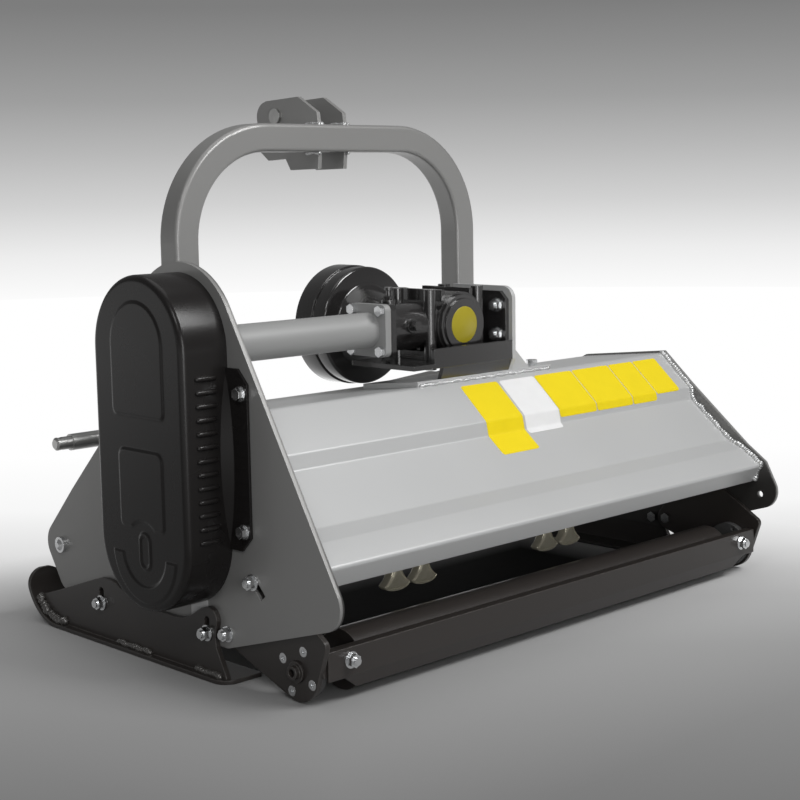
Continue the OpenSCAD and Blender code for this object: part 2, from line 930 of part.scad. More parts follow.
module pto_shield() {
  color([0.04, 0.04, 0.04])
    translate([0, 0, shaft_z - bowl_drop])
      rotate([-90, 0, 0])
        rotate_extrude()
          polygon([[bowl_hole_r, bowl_back], [bowl_neck_r, bowl_back], [bowl_bell_r, bowl_step],
            [bowl_mid_r, bowl_step + over], [bowl_mid_r, bowl_mid], [bowl_r, bowl_mid + over],
            [bowl_r, bowl_front], [bowl_r - bowl_t, bowl_front], [bowl_r - bowl_t, bowl_mid + over + bowl_t],
            [bowl_mid_r - bowl_t, bowl_mid + bowl_t], [bowl_mid_r - bowl_t, bowl_step + over + bowl_t],
            [bowl_bell_r - bowl_t, bowl_step + bowl_t], [bowl_neck_r - bowl_t, bowl_back + bowl_t],
            [bowl_hole_r, bowl_back + bowl_t]]);
}

function groove_x(i) = (i - (belt_n - 1) / 2) * belt_pitch;

// V grooves of a pulley of outer radius r, as points of its section
function grooves(r) = [for (i = [0:belt_n - 1], k = [0:3]) let (
  wide = k == 0 || k == 3 ? belt_w / 2 + belt_gap : belt_base / 2 + belt_gap,
  side = k < 2 ? -1 : 1,
  deep = k == 0 || k == 3 ? 0 : belt_h + groove_floor)
  [r - deep, groove_x(i) + side * wide]];

module pulley(r, bore, at) {
  translate([belt_x, at[0], at[1]])
    rotate([0, 90, 0])
      rotate_extrude()
        polygon(concat([[bore, -pulley_w / 2], [r, -pulley_w / 2]], grooves(r),
          [[r, pulley_w / 2], [r - belt_h - pulley_rim, pulley_w / 2],
          [r - belt_h - pulley_rim, pulley_w / 2 - pulley_dish], [pulley_hub_r, pulley_w / 2 - pulley_dish],
          [pulley_hub_r, pulley_w / 2], [bore, pulley_w / 2]]));
}

module upper_pulley() {
  color([0.3, 0.3, 0.3])
    pulley(upper_r, shaft_r + seat_play, [0, shaft_z]);
}

module lower_pulley() {
  color([0.3, 0.3, 0.3])
    pulley(lower_r, stub_r + seat_play, [0, rotor_z]);
}

// section of a belt, its back at radius r
module belt_2d(r) {
  polygon([[r, -belt_w / 2], [r, belt_w / 2], [r - belt_h, belt_base / 2], [r - belt_h, -belt_base / 2]]);
}

module belts() {
  a = [0, shaft_z];
  b = [0, rotor_z];
  w = wrap_deg(upper_r, lower_r, a, b);
  turn = 180 - w;
  run = sqrt(pow(shaft_z - rotor_z, 2) - pow(upper_r - lower_r, 2));
  color([0.08, 0.08, 0.08])
    for (i = [0:belt_n - 1])
      translate([belt_x + groove_x(i), 0, 0])
        rotate([90, 0, 90]) {
          translate(a)
            rotate([0, 0, w - 90])
              rotate_extrude(angle = 2 * turn)
                belt_2d(upper_r);
          translate(b)
            rotate([0, 0, w + 2 * turn - 90])
              rotate_extrude(angle = 2 * w)
                belt_2d(lower_r);
          for (s = [0, 1])
            translate(a)
              mirror([s, 0, 0])
                rotate([0, 0, w - 90])
                  rotate([90, 0, 0])
                    linear_extrude(run)
                      belt_2d(upper_r);
        }
}

// half section of the cover: flat back, rounded at its face
module edge_2d(r, depth, round) {
  square([r - round, depth]);
  square([r, depth - round]);
  intersection() {
    translate([r - round, depth - round])
      circle(round);
    square([r, depth]);
  }
}

// long two-ended bowl with a rounded face, its open side towards +X
module cover_solid(grow, depth, round) {
  r = cover_r + grow;
  low = rotor_z + cover_low_up;
  top = shaft_z + cover_top_up;
  translate([-half_out, 0, low])
    rotate([0, -90, 0]) {
      rotate([0, 0, 90])
        rotate_extrude(angle = 180)
          edge_2d(r, depth, round);
      translate([top - low, 0, 0])
        rotate([0, 0, -90])
          rotate_extrude(angle = 180)
            edge_2d(r, depth, round);
      rotate([90, 0, 90])
        linear_extrude(top - low) {
          edge_2d(r, depth, round);
          mirror([1, 0, 0])
            edge_2d(r, depth, round);
        }
    }
}

module belt_cover() {
  mid = -half_out - louvre_x;
  color([0.05, 0.05, 0.05])
    difference() {
      union() {
        cover_solid(0, cover_d, cover_round);
        span(-half_out - strip_t, -half_out)
          for (y = strip_y)
            link([y - sign(y) * strip_round, strip_z[0] + strip_round], strip_round,
              [y - sign(y) * strip_round, strip_z[1] - strip_round], strip_round);
      }
      translate([over, 0, 0])
        cover_solid(-cover_wall, cover_d - cover_wall + over, cover_round - cover_wall);
      for (i = [0:louvre_n - 1])
        box([mid - louvre_w, -cover_r - over, louvre_z + i * louvre_pitch],
          [mid, -cover_r / 2, louvre_z + i * louvre_pitch + louvre_h]);
      for (z = strip_bolt_z, y = strip_bolt_y)
        rod_x(-half_out - strip_t - over, -half_out + over, cover_bolt_r + hole_play, [y, z]);
    }
}

module cover_bolts() {
  color([0.78, 0.78, 0.76])
    for (z = strip_bolt_z, y = strip_bolt_y) {
      at = [y, z];
      out = -half_out - strip_t;
      rod_x(out - washer_t, out, plug_r + over, at);
      translate([out - washer_t - head_h, at[0], at[1]])
        rotate([0, 90, 0])
          cylinder(h = head_h, r = plug_r, $fn = 6);
      rod_x(out, -half_in + thread_out, cover_bolt_r, at);
    }
}

module rotor_drum() {
  color([0.2, 0.2, 0.2])
    difference() {
      rod_x(-drum_half, drum_half, drum_r, [0, rotor_z]);
      rod_x(-drum_half - over, drum_half + over, drum_r - drum_wall, [0, rotor_z]);
    }
}

module rotor_ends() {
  c = [0, rotor_z];
  color([0.3, 0.3, 0.3]) {
    rod_x(-drum_half, -drum_half + end_t, drum_r - drum_wall - seat_play, c);
    rod_x(stub_left, -drum_half, stub_r, c);
    rod_x(drum_half - end_t, drum_half, drum_r - drum_wall - seat_play, c);
    rod_x(drum_half, stub_right, stub_r, c);
  }
}

// one lug plate, its bolt hole straight below the drum's axis
module lug_2d() {
  difference() {
    link([0, -pivot_r], lug_r, [0, -drum_r + lug_bite], lug_base);
    circle(drum_r);
    spot([0, -pivot_r], hammer_bolt_r + seat_play);
  }
}

module rotor_lugs() {
  color([0.2, 0.2, 0.2])
    for (i = [0:hammer_n - 1], x = [-lug_gap / 2 - lug_t, lug_gap / 2])
      translate([hammer_x(i), 0, rotor_z])
        rotate([-row_dir(i), 0, 0])
          span(x, x + lug_t)
            lug_2d();
}

module hammer_bolts() {
  end = lug_gap / 2 + lug_t;
  color([0.6, 0.6, 0.55])
    for (i = [0:hammer_n - 1]) {
      x = hammer_x(i);
      rod_x(x - end - hammer_head, x - end, hammer_head_r, pivot_at(i));
      rod_x(x - end, x + end, hammer_bolt_r, pivot_at(i));
      rod_x(x + end, x + end + hammer_head, hammer_head_r, pivot_at(i));
    }
}

// hanging hammer seen from behind, and seen from its side
module hammer_front_2d() {
  f = hammer_flare_shares * hammer_l;
  n = hammer_neck / 2;
  h = hammer_w / 2;
  polygon([[-n, hammer_eye_r], [-n, -f[0]], [-h, -f[1]], [-h, -f[2]], [-h * hammer_edge_share, -hammer_l],
    [h * hammer_edge_share, -hammer_l], [h, -f[2]], [h, -f[1]], [n, -f[0]], [n, hammer_eye_r]]);
}

module hammer_side_2d() {
  f = hammer_flare_shares * hammer_l;
  a = hammer_thin / 2;
  b = hammer_thick / 2;
  difference() {
    union() {
      circle(hammer_eye_r);
      polygon([[-a, 0], [-a, -f[0]], [-b, -f[2]], [-b + hammer_bevel, -hammer_l],
        [b - hammer_bevel, -hammer_l], [b, -f[2]], [a, -f[0]], [a, 0]]);
    }
    circle(hammer_bolt_r + hammer_play);
  }
}

module hammer(i) {
  color([0.6, 0.55, 0.35])
    translate([hammer_x(i), pivot_at(i)[0], pivot_at(i)[1]])
      rotate([-hang_dir(i), 0, 0])
        intersection() {
          span(-hammer_w, hammer_w)
            hammer_side_2d();
          translate([0, hammer_thick, 0])
            rotate([90, 0, 0])
              linear_extrude(hammer_thick * 2)
                hammer_front_2d();
        }
}

module hammer_01() { hammer(0); }
module hammer_02() { hammer(1); }
module hammer_03() { hammer(2); }
module hammer_04() { hammer(3); }
module hammer_05() { hammer(4); }
module hammer_06() { hammer(5); }
module hammer_07() { hammer(6); }
module hammer_08() { hammer(7); }
module hammer_09() { hammer(8); }
module hammer_10() { hammer(9); }
module hammer_11() { hammer(10); }
module hammer_12() { hammer(11); }
module hammer_13() { hammer(12); }
module hammer_14() { hammer(13); }
module hammer_15() { hammer(14); }
module hammer_16() { hammer(15); }

module rotor_bearings() {
  c = [0, rotor_z];
  color([0.35, 0.36, 0.37])
    both()
      difference() {
        union() {
          rod_x(half_out, half_out + bearing_disc, bearing_disc_r, c);
          rod_x(half_out - bearing_hub, half_out + over, bearing_hub_r, c);
        }
        rod_x(half_out - bearing_hub - over, half_out + bearing_disc + over, stub_r + run_play, c);
      }
}

// lug of a skid with its bolt slot, the bolt at the slot's lower end
module skid_slot(at) {
  link(at, bolt_r + slot_play, at + [0, skid_travel], bolt_r + slot_play);
}

module skid_right() {
  in = half_out + slip;
  out = in + skid_plate_t + skid_ledge;
  nose = [skid_bend, skid_z + skid_nose_r];
  flat = skid_z + skid_t;
  tip = polar(nose, skid_nose_r, skid_nose_deg - 90);
  tip_in = polar(nose, skid_nose_r - skid_t, skid_nose_deg - 90);
  top = tip_in[1] + slip;
  front = [for (d = skid_front_deg) polar(nose, skid_nose_r - skid_t / 2, d)];
  color([0.06, 0.055, 0.05]) {
    difference() {
      span(out - skid_w, out)
        union() {
          polygon([[skid_back, skid_z], [skid_bend, skid_z], [skid_bend, flat], [skid_back, flat]]);
          intersection() {
            difference() {
              spot(nose, skid_nose_r);
              spot(nose, skid_nose_r - skid_t);
            }
            polygon([nose, [skid_bend, skid_z - over], [tip[0] + over, skid_z - over], tip + (tip - nose)]);
          }
        }
      for (x = [out - skid_w - over, out - skid_corner])
        difference() {
          box([x, nose[0], top - skid_corner], [x + skid_corner + over, tip[0] + over, top + over]);
          rod_y(nose[0] - over, tip[0] + 2 * over, skid_corner,
            [x < out - skid_w ? out - skid_w + skid_corner : out - skid_corner, top - skid_corner]);
        }
      difference() {
        box([out - skid_heel_r, skid_back - over, skid_z - over],
          [out + over, skid_back + skid_heel_r, flat + over]);
        translate([out - skid_heel_r, skid_back + skid_heel_r, skid_z - 2 * over])
          cylinder(h = skid_t + 4 * over, r = skid_heel_r);
      }
    }
    span(in, in + skid_plate_t)
      difference() {
        polygon(concat(front, skid_web, skid_heel));
        skid_slot(skid_front_bolt);
        skid_slot(skid_rear_bolt);
      }
  }
}

module skid_left() {
  mirror([1, 0, 0])
    skid_right();
}

// bolts held by the side plates: skid bolts, and the pivots of the roller arms
module frame_bolts() {
  color([0.78, 0.78, 0.76])
    both() {
      for (at = [skid_front_bolt, skid_rear_bolt])
        bolt_x(half_in, half_out + skid_plate_t + 2 * slip, bolt_r, at);
      bolt_x(half_in - arm_t - 2 * slip, half_out, bolt_r, arm_pivot);
    }
}

module arm_right() {
  in = half_in - slip - arm_t;
  out = half_in - slip;
  color([0.06, 0.055, 0.05])
    difference() {
      union() {
        span(in, out)
          outline([concat(arm_pivot, [arm_eye_r]), concat(arm_clamp, [arm_eye_r]),
            concat(arm_tail, [arm_tail_r]), concat(arm_hub, [arm_hub_r])]);
        box([in - tab_w, bar_y + bar_t, tab_z[0]], [in + over, bar_y + bar_t + tab_t, tab_z[1]]);
      }
      rod_x(in - over, out + over, bolt_r + run_play, arm_pivot);
      rod_x(in - over, out + over, bolt_r + hole_play, arm_clamp);
      rod_x(in - over, out + over, axle_pin_r + slip, arm_hub);
      for (i = [0:3]) {
        at = polar(arm_hub, screw_ring, screw_start + i * 90);
        rod_x(in - over, out + over, screw_r + hole_play, at);
        cone_x(out - screw_head, out, screw_r + hole_play, screw_head_r + hole_play, at);
      }
      rod_y(bar_y, bar_y + bar_t + tab_t + over, bolt_r + hole_play, bar_bolt);
    }
}

module arm_left() {
  mirror([1, 0, 0])
    arm_right();
}

module roller_hubs() {
  out = half_in - slip - arm_t;
  color([0.4, 0.4, 0.4])
    both()
      difference() {
        rod_x(out - hub_t, out, hub_r, arm_hub);
        rod_x(out - hub_t - over, out + over, axle_pin_r + run_play, arm_hub);
        for (i = [0:3])
          rod_x(out - hub_t - over, out + over, screw_r + hole_play,
            polar(arm_hub, screw_ring, screw_start + i * 90));
      }
}

module hub_screws() {
  out = half_in - slip;
  color([0.75, 0.75, 0.73])
    both()
      for (i = [0:3]) {
        at = polar(arm_hub, screw_ring, screw_start + i * 90);
        difference() {
          union() {
            cone_x(out - screw_head, out, screw_r, screw_head_r, at);
            rod_x(out - screw_l, out - screw_head, screw_r, at);
          }
          translate([out - socket_h, at[0], at[1]])
            rotate([0, 90, 0])
              cylinder(h = socket_h + over, r = socket_r, $fn = 6);
        }
      }
}

module roller() {
  face = half_in - slip;
  end = face + axle_out;
  tip = face + axle_nose;
  color([0.08, 0.075, 0.07])
    difference() {
      union() {
        rod_x(-roller_half, roller_half, roller_r, arm_hub);
        rod_x(-end, end, axle_pin_r, arm_hub);
        rod_x(-tip, tip, axle_nose_r, arm_hub);
      }
      difference() {
        rod_x(-roller_half + roller_wall, roller_half - roller_wall, roller_r - roller_wall, arm_hub);
        rod_x(-end, end, axle_pin_r, arm_hub);
      }
      both()
        rod_x(tip - axle_centre, tip + over, axle_centre_r, arm_hub);
    }
}

module scraper_bar() {
  line = [[bar_y + bar_flange, bar_top], [bar_y, bar_top], [bar_y, bar_low], bar_lip];
  color([0.07, 0.06, 0.055])
    difference() {
      span(-bar_half, bar_half)
        polygon(band(line, bar_t));
      both() {
        rod_y(bar_y - over, bar_y + bar_t + over, bolt_r + hole_play, bar_bolt);
        translate([bar_half, bar_y - over, bar_lip[1] - over])
          rotate([-90, -90, 0])
            linear_extrude(bar_flange)
              polygon([[0, over], [0, -bar_lip_cut], [bar_low - bar_lip[1], -bar_lip_cut / 2],
                [bar_low - bar_lip[1], over]]);
      }
    }
}

// bolts that move with the roller arms: clamp bolts through the slots, and the scraper bar's bolts
module arm_bolts() {
  color([0.78, 0.78, 0.76])
    both() {
      bolt_x(half_in - arm_t - slip, half_out + slip, bolt_r, arm_clamp);
      translate([bar_bolt[0], bar_y + bar_t + tab_t, bar_bolt[1]])
        rotate([0, 0, -90])
          bolt_x(0, bar_t + tab_t, bolt_r, [0, 0]);
    }
}

module front_rod() {
  tip = half_out + rod_dome;
  color([0.6, 0.6, 0.6]) {
    rod_x(-half_out, half_out, rod_r, rod_at);
    both() {
      rod_x(half_out, tip, rod_dome_r, rod_at);
      cone_x(tip, tip + rod_tip, rod_dome_r - rod_tip, rod_r - rod_tip, rod_at);
    }
  }
}

side_plate_left();
side_plate_right();
hood();
mast_tube();
hitch_arm_left();
hitch_arm_right();
hitch_pins();
top_plate_left();
top_plate_right();
top_pin();
gearbox_stand();
gearbox_cradle();
gearbox_case();
gearbox_cap();
gearbox_plugs();
cradle_bolts();
axle_tube();
axle_bolts();
pto_shaft();
crown_wheel();
pinion();
cross_shaft();
pto_shield();
upper_pulley();
lower_pulley();
belts();
belt_cover();
cover_bolts();
rotor_drum();
rotor_lugs();
rotor_ends();
hammer_01();
hammer_02();
hammer_03();
hammer_04();
hammer_05();
hammer_06();
hammer_07();
hammer_08();
hammer_09();
hammer_10();
hammer_11();
hammer_12();
hammer_13();
hammer_14();
hammer_15();
hammer_16();
hammer_bolts();
rotor_bearings();
skid_left();
skid_right();
frame_bolts();
roller();
arm_left();
arm_right();
roller_hubs();
hub_screws();
scraper_bar();
arm_bolts();
front_rod();
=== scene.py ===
"""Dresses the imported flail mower: hood, belt cover, guard, castings, welds, panels and finishes."""
import math

import bmesh
import bpy
import numpy as np
from bpy.props import FloatProperty, FloatVectorProperty, PointerProperty
from mathutils import Matrix


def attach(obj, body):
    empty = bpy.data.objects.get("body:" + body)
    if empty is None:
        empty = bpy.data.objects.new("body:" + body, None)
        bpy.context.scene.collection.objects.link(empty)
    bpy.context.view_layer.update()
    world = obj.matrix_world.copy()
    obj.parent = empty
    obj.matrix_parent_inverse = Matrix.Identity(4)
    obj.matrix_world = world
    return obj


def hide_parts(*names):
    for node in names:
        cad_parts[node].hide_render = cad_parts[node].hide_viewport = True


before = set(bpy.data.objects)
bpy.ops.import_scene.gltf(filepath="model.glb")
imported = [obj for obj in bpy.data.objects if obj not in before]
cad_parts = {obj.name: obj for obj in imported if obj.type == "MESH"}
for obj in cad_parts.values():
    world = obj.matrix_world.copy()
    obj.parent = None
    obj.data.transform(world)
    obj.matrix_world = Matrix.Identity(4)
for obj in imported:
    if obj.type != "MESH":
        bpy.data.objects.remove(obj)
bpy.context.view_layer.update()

bl_info = {
    "name": "Flail mower dressing",
    "version": (1, 0, 0),
    "blender": (4, 5, 0),
    "location": "View3D > Sidebar > Mower",
    "description": "Adds formed sheet, castings, welds and finishes to a packed flail mower",
    "category": "Object",
}

MM = 0.001
TURN = 2 * math.pi
QUARTER = math.pi / 2

# points closer than this are merged, and shorter edges dropped, in metres
MERGE_GAP = 2e-6
SHORT_EDGE = 1e-6

# heights and places of the solids; all sizes up to the stage are in millimetres
SHAFT_Z = 474.0
ROTOR_Z = 198.0
HALF_IN = 525.0
HALF_OUT = 533.0
MAST_Y = 272.5
MAST_X = 329.0
MAST_TOP = 810.0
TUBE = 48.0

# outer surface of the hood, from its front edge over the top to the rear lip: y, z
HOOD_LINE = np.array([[330, 200], [225, 300], [113, 365], [-70, 383], [-135, 324], [-140, 301],
                      [-222, 234], [-251, 222], [-291, 195], [-274, 164]], float)
HOOD_FOLDS = np.array([16, 18, 12, 7, 6, 16, 10, 6], float)
HOOD_SHEET = 4.0


# ---- surfaces ----

def unit(v):
    """Vectors scaled to length one along their last axis."""
    return v / np.maximum(np.linalg.norm(v, axis=-1, keepdims=True), 1e-12)


def grid_quads(rows, cols, ring=False, loop=False):
    """Quads between neighbouring points of a grid counted row by row.

    Each row is closed to a ring, and the last row joined to the first by a loop, if asked."""
    i = np.arange(rows if loop else rows - 1)[:, None]
    j = np.arange(cols if ring else cols - 1)[None, :]
    k, m = (i + 1) % rows, (j + 1) % cols
    return np.stack([i * cols + j, i * cols + m, k * cols + m, k * cols + j], -1).reshape(-1, 4)


def add_object(name, data):
    """New object in the scene."""
    made = bpy.data.objects.new(name, data)
    bpy.context.scene.collection.objects.link(made)
    return made


def make_piece(name, parts, body, slot, crease, look=None):
    """Mesh object in metres from surfaces of (points, quads) in millimetres.

    Doubles are merged, faces turned outwards, and edges sharper than the crease angle kept. Its
    finish has the slot's name, if no other look is given."""
    points = [p.reshape(-1, 3) for p, _ in parts]
    counts = np.cumsum([0] + [len(p) for p in points])
    quads = np.concatenate([q + n for (_, q), n in zip(parts, counts)])
    mesh = bpy.data.meshes.new(name)
    mesh.from_pydata((np.concatenate(points) * MM).tolist(), [], quads.tolist())
    shape = bmesh.new()
    shape.from_mesh(mesh)
    bmesh.ops.remove_doubles(shape, verts=shape.verts, dist=MERGE_GAP)
    bmesh.ops.dissolve_degenerate(shape, edges=shape.edges, dist=SHORT_EDGE)
    bmesh.ops.recalc_face_normals(shape, faces=shape.faces)
    shape.to_mesh(mesh)
    shape.free()
    mesh.shade_smooth()
    mesh.set_sharp_from_angle(angle=math.radians(crease))
    mesh.materials.append(finish(look or slot))
    piece = add_object(name, mesh)
    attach(piece, body)
    return piece


def rounded(line, radius, steps=7, closed=False):
    """Line of straight sides with an arc in each corner.

    The arc of radius r touches both sides at r / tan(half the corner's angle) from the corner,
    and its centre lies on the corner's bisector at r / sin(half the angle)."""
    line = np.asarray(line, float)
    at = line if closed else line[1:-1]
    before = np.roll(line, 1, 0) if closed else line[:-2]
    after = np.roll(line, -1, 0) if closed else line[2:]
    a, b = unit(before - at), unit(after - at)
    shorter = np.minimum(np.linalg.norm(before - at, axis=1), np.linalg.norm(after - at, axis=1))
    half = np.arccos(np.clip((a * b).sum(1), -1, 1)) / 2
    reach = np.minimum(np.broadcast_to(radius, half.shape) / np.tan(half), 0.45 * shorter)
    r = reach * np.tan(half)
    centre = at + unit(a + b) * (r / np.sin(half))[:, None]
    first, last = at + a * reach[:, None] - centre, at + b * reach[:, None] - centre
    start = np.arctan2(first[:, 1], first[:, 0])
    turn = (np.arctan2(last[:, 1], last[:, 0]) - start + math.pi) % TURN - math.pi
    angle = start[:, None] + turn[:, None] * np.linspace(0, 1, steps)
    circle = np.stack([np.cos(angle), np.sin(angle)], -1)
    arcs = (centre[:, None] + r[:, None, None] * circle).reshape(-1, 2)
    return arcs if closed else np.concatenate([line[:1], arcs, line[-1:]])


def across(line):
    """Unit normals to the left of a line's course, from the chord of each point's neighbours."""
    chord = np.gradient(line, axis=0)
    return unit(np.stack([-chord[:, 1], chord[:, 0]], -1))


def swept_sheet(outer, inner, half):
    """Bent sheet with closed ends: its outer and inner lines in y and z, drawn along x."""
    ring = np.concatenate([outer, inner[::-1]])
    count = len(ring)
    points = np.empty((2, count, 3))
    points[..., 0] = [[-half], [half]]
    points[..., 1:] = ring
    i = np.arange(len(outer) - 1)
    cap = np.stack([i, i + 1, count - 2 - i, count - 1 - i], -1)
    return points, np.concatenate([grid_quads(2, count, ring=True), cap, cap + count])


def turned(profile, height, steps):
    """Solid of revolution: a closed line of (radius, y) turned about a line along y at a height."""
    t = np.linspace(0, TURN, steps, endpoint=False)[:, None]
    r, y = profile.T
    points = np.stack([np.sin(t) * r, y + 0 * t, np.cos(t) * r + height], -1)
    return points, grid_quads(steps, len(r), True, True)


def tube(path, radius, sides=10):
    """Tube round a path: a circle at each point, square to the path's course.

    Its axes come from the course and a fixed direction far from it; no radius closes an end."""
    path = np.asarray(path, float)
    course = unit(np.gradient(path, axis=0))
    steep = abs(course[:, 2]).max() >= 0.9
    guide = np.array([0.93, 0.31, 0.17] if steep else [0.31, 0.17, 0.93])
    side = unit(np.cross(course, guide))
    up = np.cross(side, course)
    t = np.linspace(0, TURN, sides, endpoint=False)
    ring = np.cos(t)[None, :, None] * side[:, None] + np.sin(t)[None, :, None] * up[:, None]
    points = path[:, None] + np.broadcast_to(radius, len(path))[:, None, None] * ring
    return points, grid_quads(len(path), sides, ring=True)


def walk(corners, pitch):
    """Points at an even pitch along a line of corners, by straight interpolation on its length."""
    corners = np.asarray(corners, float)
    run = np.concatenate([[0], np.cumsum(np.linalg.norm(np.diff(corners, axis=0), axis=1))])
    s = np.linspace(0, run[-1], max(int(run[-1] / pitch), 4) + 1)
    return np.stack([np.interp(s, run, corners[:, k]) for k in range(corners.shape[1])], -1), s


def bead(corners, radius, ripple=4.6, start=0.0):
    """Weld bead: a tube along a joint whose radius swells once per ripple.

    The radius also rises and sags in slow waves of the way along, the path wanders by waves of
    three other lengths, and the radius falls to nothing at both ends."""
    path, s = walk(corners, ripple / 6)
    way = s + start
    sag = np.sin(0.23 * way + 1.3 * np.sin(0.071 * way))
    swell = 0.80 + 0.20 * np.abs(np.sin(math.pi * way / ripple)) + 0.10 * sag
    wander = np.stack([np.sin(0.31 * way), np.sin(0.27 * way + 2), np.sin(0.19 * way + 4)], -1)
    ends = np.clip(np.minimum(s, s[-1] - s) / radius, 0, 1)
    return tube(path + wander * (0.14 * radius), radius * swell * np.sqrt(ends * (2 - ends)))


def rounded_box_distance(y, z, low, high, radii):
    """Signed distance to a round-cornered box in y and z: radii at its bottom and at its top."""
    cy, cz = (low[0] + high[0]) / 2, (low[1] + high[1]) / 2
    hy, hz = (high[0] - low[0]) / 2, (high[1] - low[1]) / 2
    r = np.where(z > cz, radii[1], radii[0])
    a, b = np.abs(y - cy) - hy + r, np.abs(z - cz) - hz + r
    return np.hypot(np.maximum(a, 0), np.maximum(b, 0)) + np.minimum(np.maximum(a, b), 0) - r


def smooth_step(x):
    """0 below 0, 1 above 1 and the cubic 3x2 - 2x3 between."""
    x = np.clip(x, 0, 1)
    return x * x * (3 - 2 * x)


def blunt(w, power):
    """A sine or cosine raised to a power with its sign kept; below one, it squares an oval."""
    return np.sign(w) * np.abs(w) ** power


# ---- shader maths ----

class Value:
    """A socket of a finish; sums and products of it add the Math nodes that work them out."""

    def __init__(self, finish, socket):
        self.finish = finish
        self.socket = socket

    def math(self, operation, *others):
        inputs = dict(enumerate((self,) + others))
        return self.finish.node("Math", {"operation": operation}, inputs)

    def held(self):
        """The value kept between 0 and 1."""
        return self.math("MAXIMUM", 0.0).math("MINIMUM", 1.0)

    def swing(self, width):
        """A value from 0 to 1 as a swing of that width about nothing."""
        return (self - 0.5) * width

    def __add__(self, other):
        return self.math("ADD", other)

    def __sub__(self, other):
        return self.math("SUBTRACT", other)

    def __mul__(self, other):
        return self.math("MULTIPLY", other)

    def __truediv__(self, other):
        return self.math("DIVIDE", other)

    def __rsub__(self, other):
        return self.finish.node("Math", {"operation": "SUBTRACT"}, {0: other, 1: self})

    __radd__ = __add__
    __rmul__ = __mul__


class Finish:
    """A material or world in the making."""

    def __init__(self, owner):
        self.owner = owner
        owner.use_nodes = True
        self.tree = owner.node_tree
        self.tree.nodes.clear()

    def node(self, kind, settings=None, inputs=None, out=0):
        """A shader node: settings, then the values or links of its sockets; gives one output."""
        made = self.tree.nodes.new("ShaderNode" + kind)
        for key, value in (settings or {}).items():
            if key == "stops":
                ramp = made.color_ramp
                while len(ramp.elements) < len(value):
                    ramp.elements.new(1.0)
                for element, (place, colour) in zip(ramp.elements, value):
                    element.position = place
                    element.color = colour
            else:
                setattr(made, key, value)
        for key, value in (inputs or {}).items():
            if isinstance(value, Value):
                self.tree.links.new(value.socket, made.inputs[key])
            else:
                made.inputs[key].default_value = value
        return Value(self, made.outputs[out]) if made.outputs else made

    def place(self):
        """The piece's own coordinates, in metres."""
        return self.node("TexCoord", out="Object")

    def axes(self, vector, names):
        """The parts of a vector along the axes named."""
        return [self.node("SeparateXYZ", {}, {0: vector}, out=axis) for axis in names]

    def dot(self, a, b):
        """How far one vector goes along another."""
        return self.node("VectorMath", {"operation": "DOT_PRODUCT"}, {0: a, 1: b},
                         out="Value")

    def noise(self, scale, detail=2.0, roughness=0.5, stretch=None):
        """Noise on the piece's coordinates: grains per metre, drawn out by a stretch per axis."""
        at = self.place()
        if stretch:
            at = self.node("Mapping", {}, {"Vector": at, "Scale": stretch})
        return self.node("TexNoise", {}, {
            "Vector": at, "Scale": scale, "Detail": detail, "Roughness": roughness})

    def blend(self, factor, a, b):
        """Colour between a and b by a factor."""
        return self.node("Mix", {"data_type": "RGBA"}, {0: factor, 6: a, 7: b}, out=2)

    def mottled(self, factor, colour, dark, light):
        """Colour between a darker and a lighter shade of it by a factor."""
        return self.blend(factor, rgba(colour, dark), rgba(colour, light))

    def tones(self, value, low, high, run):
        """Greys by a value: a run of (value, display level) between a low and a high end."""
        stops = [(max(0.0, (at - low) / (high - low)), grey(level)) for at, level in run]
        return self.node("ValToRGB", {"stops": stops},
                         {"Fac": (value - low) / (high - low)})

    def bump(self, strength, distance, height, **more):
        """Normal of a surface that stands up by a height between 0 and 1 times a distance."""
        return self.node("Bump", {}, {
            "Strength": strength, "Distance": distance, "Height": height, **more})

    def surface(self, **inputs):
        """Ends the material with one surface shader; keys are its sockets, with _ for a blank."""
        named = {key.replace("_", " "): value for key, value in inputs.items()}
        shader = self.node("BsdfPrincipled", {}, named)
        self.node("OutputMaterial", {}, {"Surface": shader})


def rgba(colour, shade=1.0):
    return tuple(c * shade for c in colour[:3]) + (1.0,)


def grey(level):
    """Linear grey from a display level by the display's power curve."""
    linear = level / 12.92 if level <= 0.04045 else ((level + 0.055) / 1.055) ** 2.4
    return (linear, linear, linear, 1.0)


FINISHES = {}


def new_finish(name):
    """A finish in the making, kept under its name."""
    f = Finish(bpy.data.materials.new(name))
    FINISHES[name] = f.owner
    return f


def finish(name):
    if name not in FINISHES:
        raise RuntimeError(f"the finish {name} is not made yet: run the finishes first")
    return FINISHES[name]


def soft_normal(f, edge, strength=0.0, height=None, depth=0.0002):
    """Normal that rounds hard edges over a width, with a bump of a height on top of it."""
    normal = f.node("Bevel", {"samples": 6}, {"Radius": edge})
    return normal if height is None else f.bump(strength, depth, height, Normal=normal)


# mask of the painted edge highlight: edges made lighter to stand for edges that catch the light
def edge_highlight_mask(f, edge):
    """0 on a flat face and up to 1 at an edge, where a rounded normal leans from the face's own."""
    lean = f.dot(soft_normal(f, edge), f.node("NewGeometry", out="Normal"))
    return ((1 - lean) * 3.4).math("MINIMUM", 1.0)


def rotor_chamber_shade(f):
    """Painted shade: 0.9 low on the side plates' faces towards the rotor, 0.42 higher up on them."""
    x, z = f.axes(f.place(), "XZ")
    inner = ((0.529 - x.math("ABSOLUTE")) / 0.002).held()
    low = ((0.26 - z) / 0.09).held()
    return inner * (low * 0.48 + 0.42)


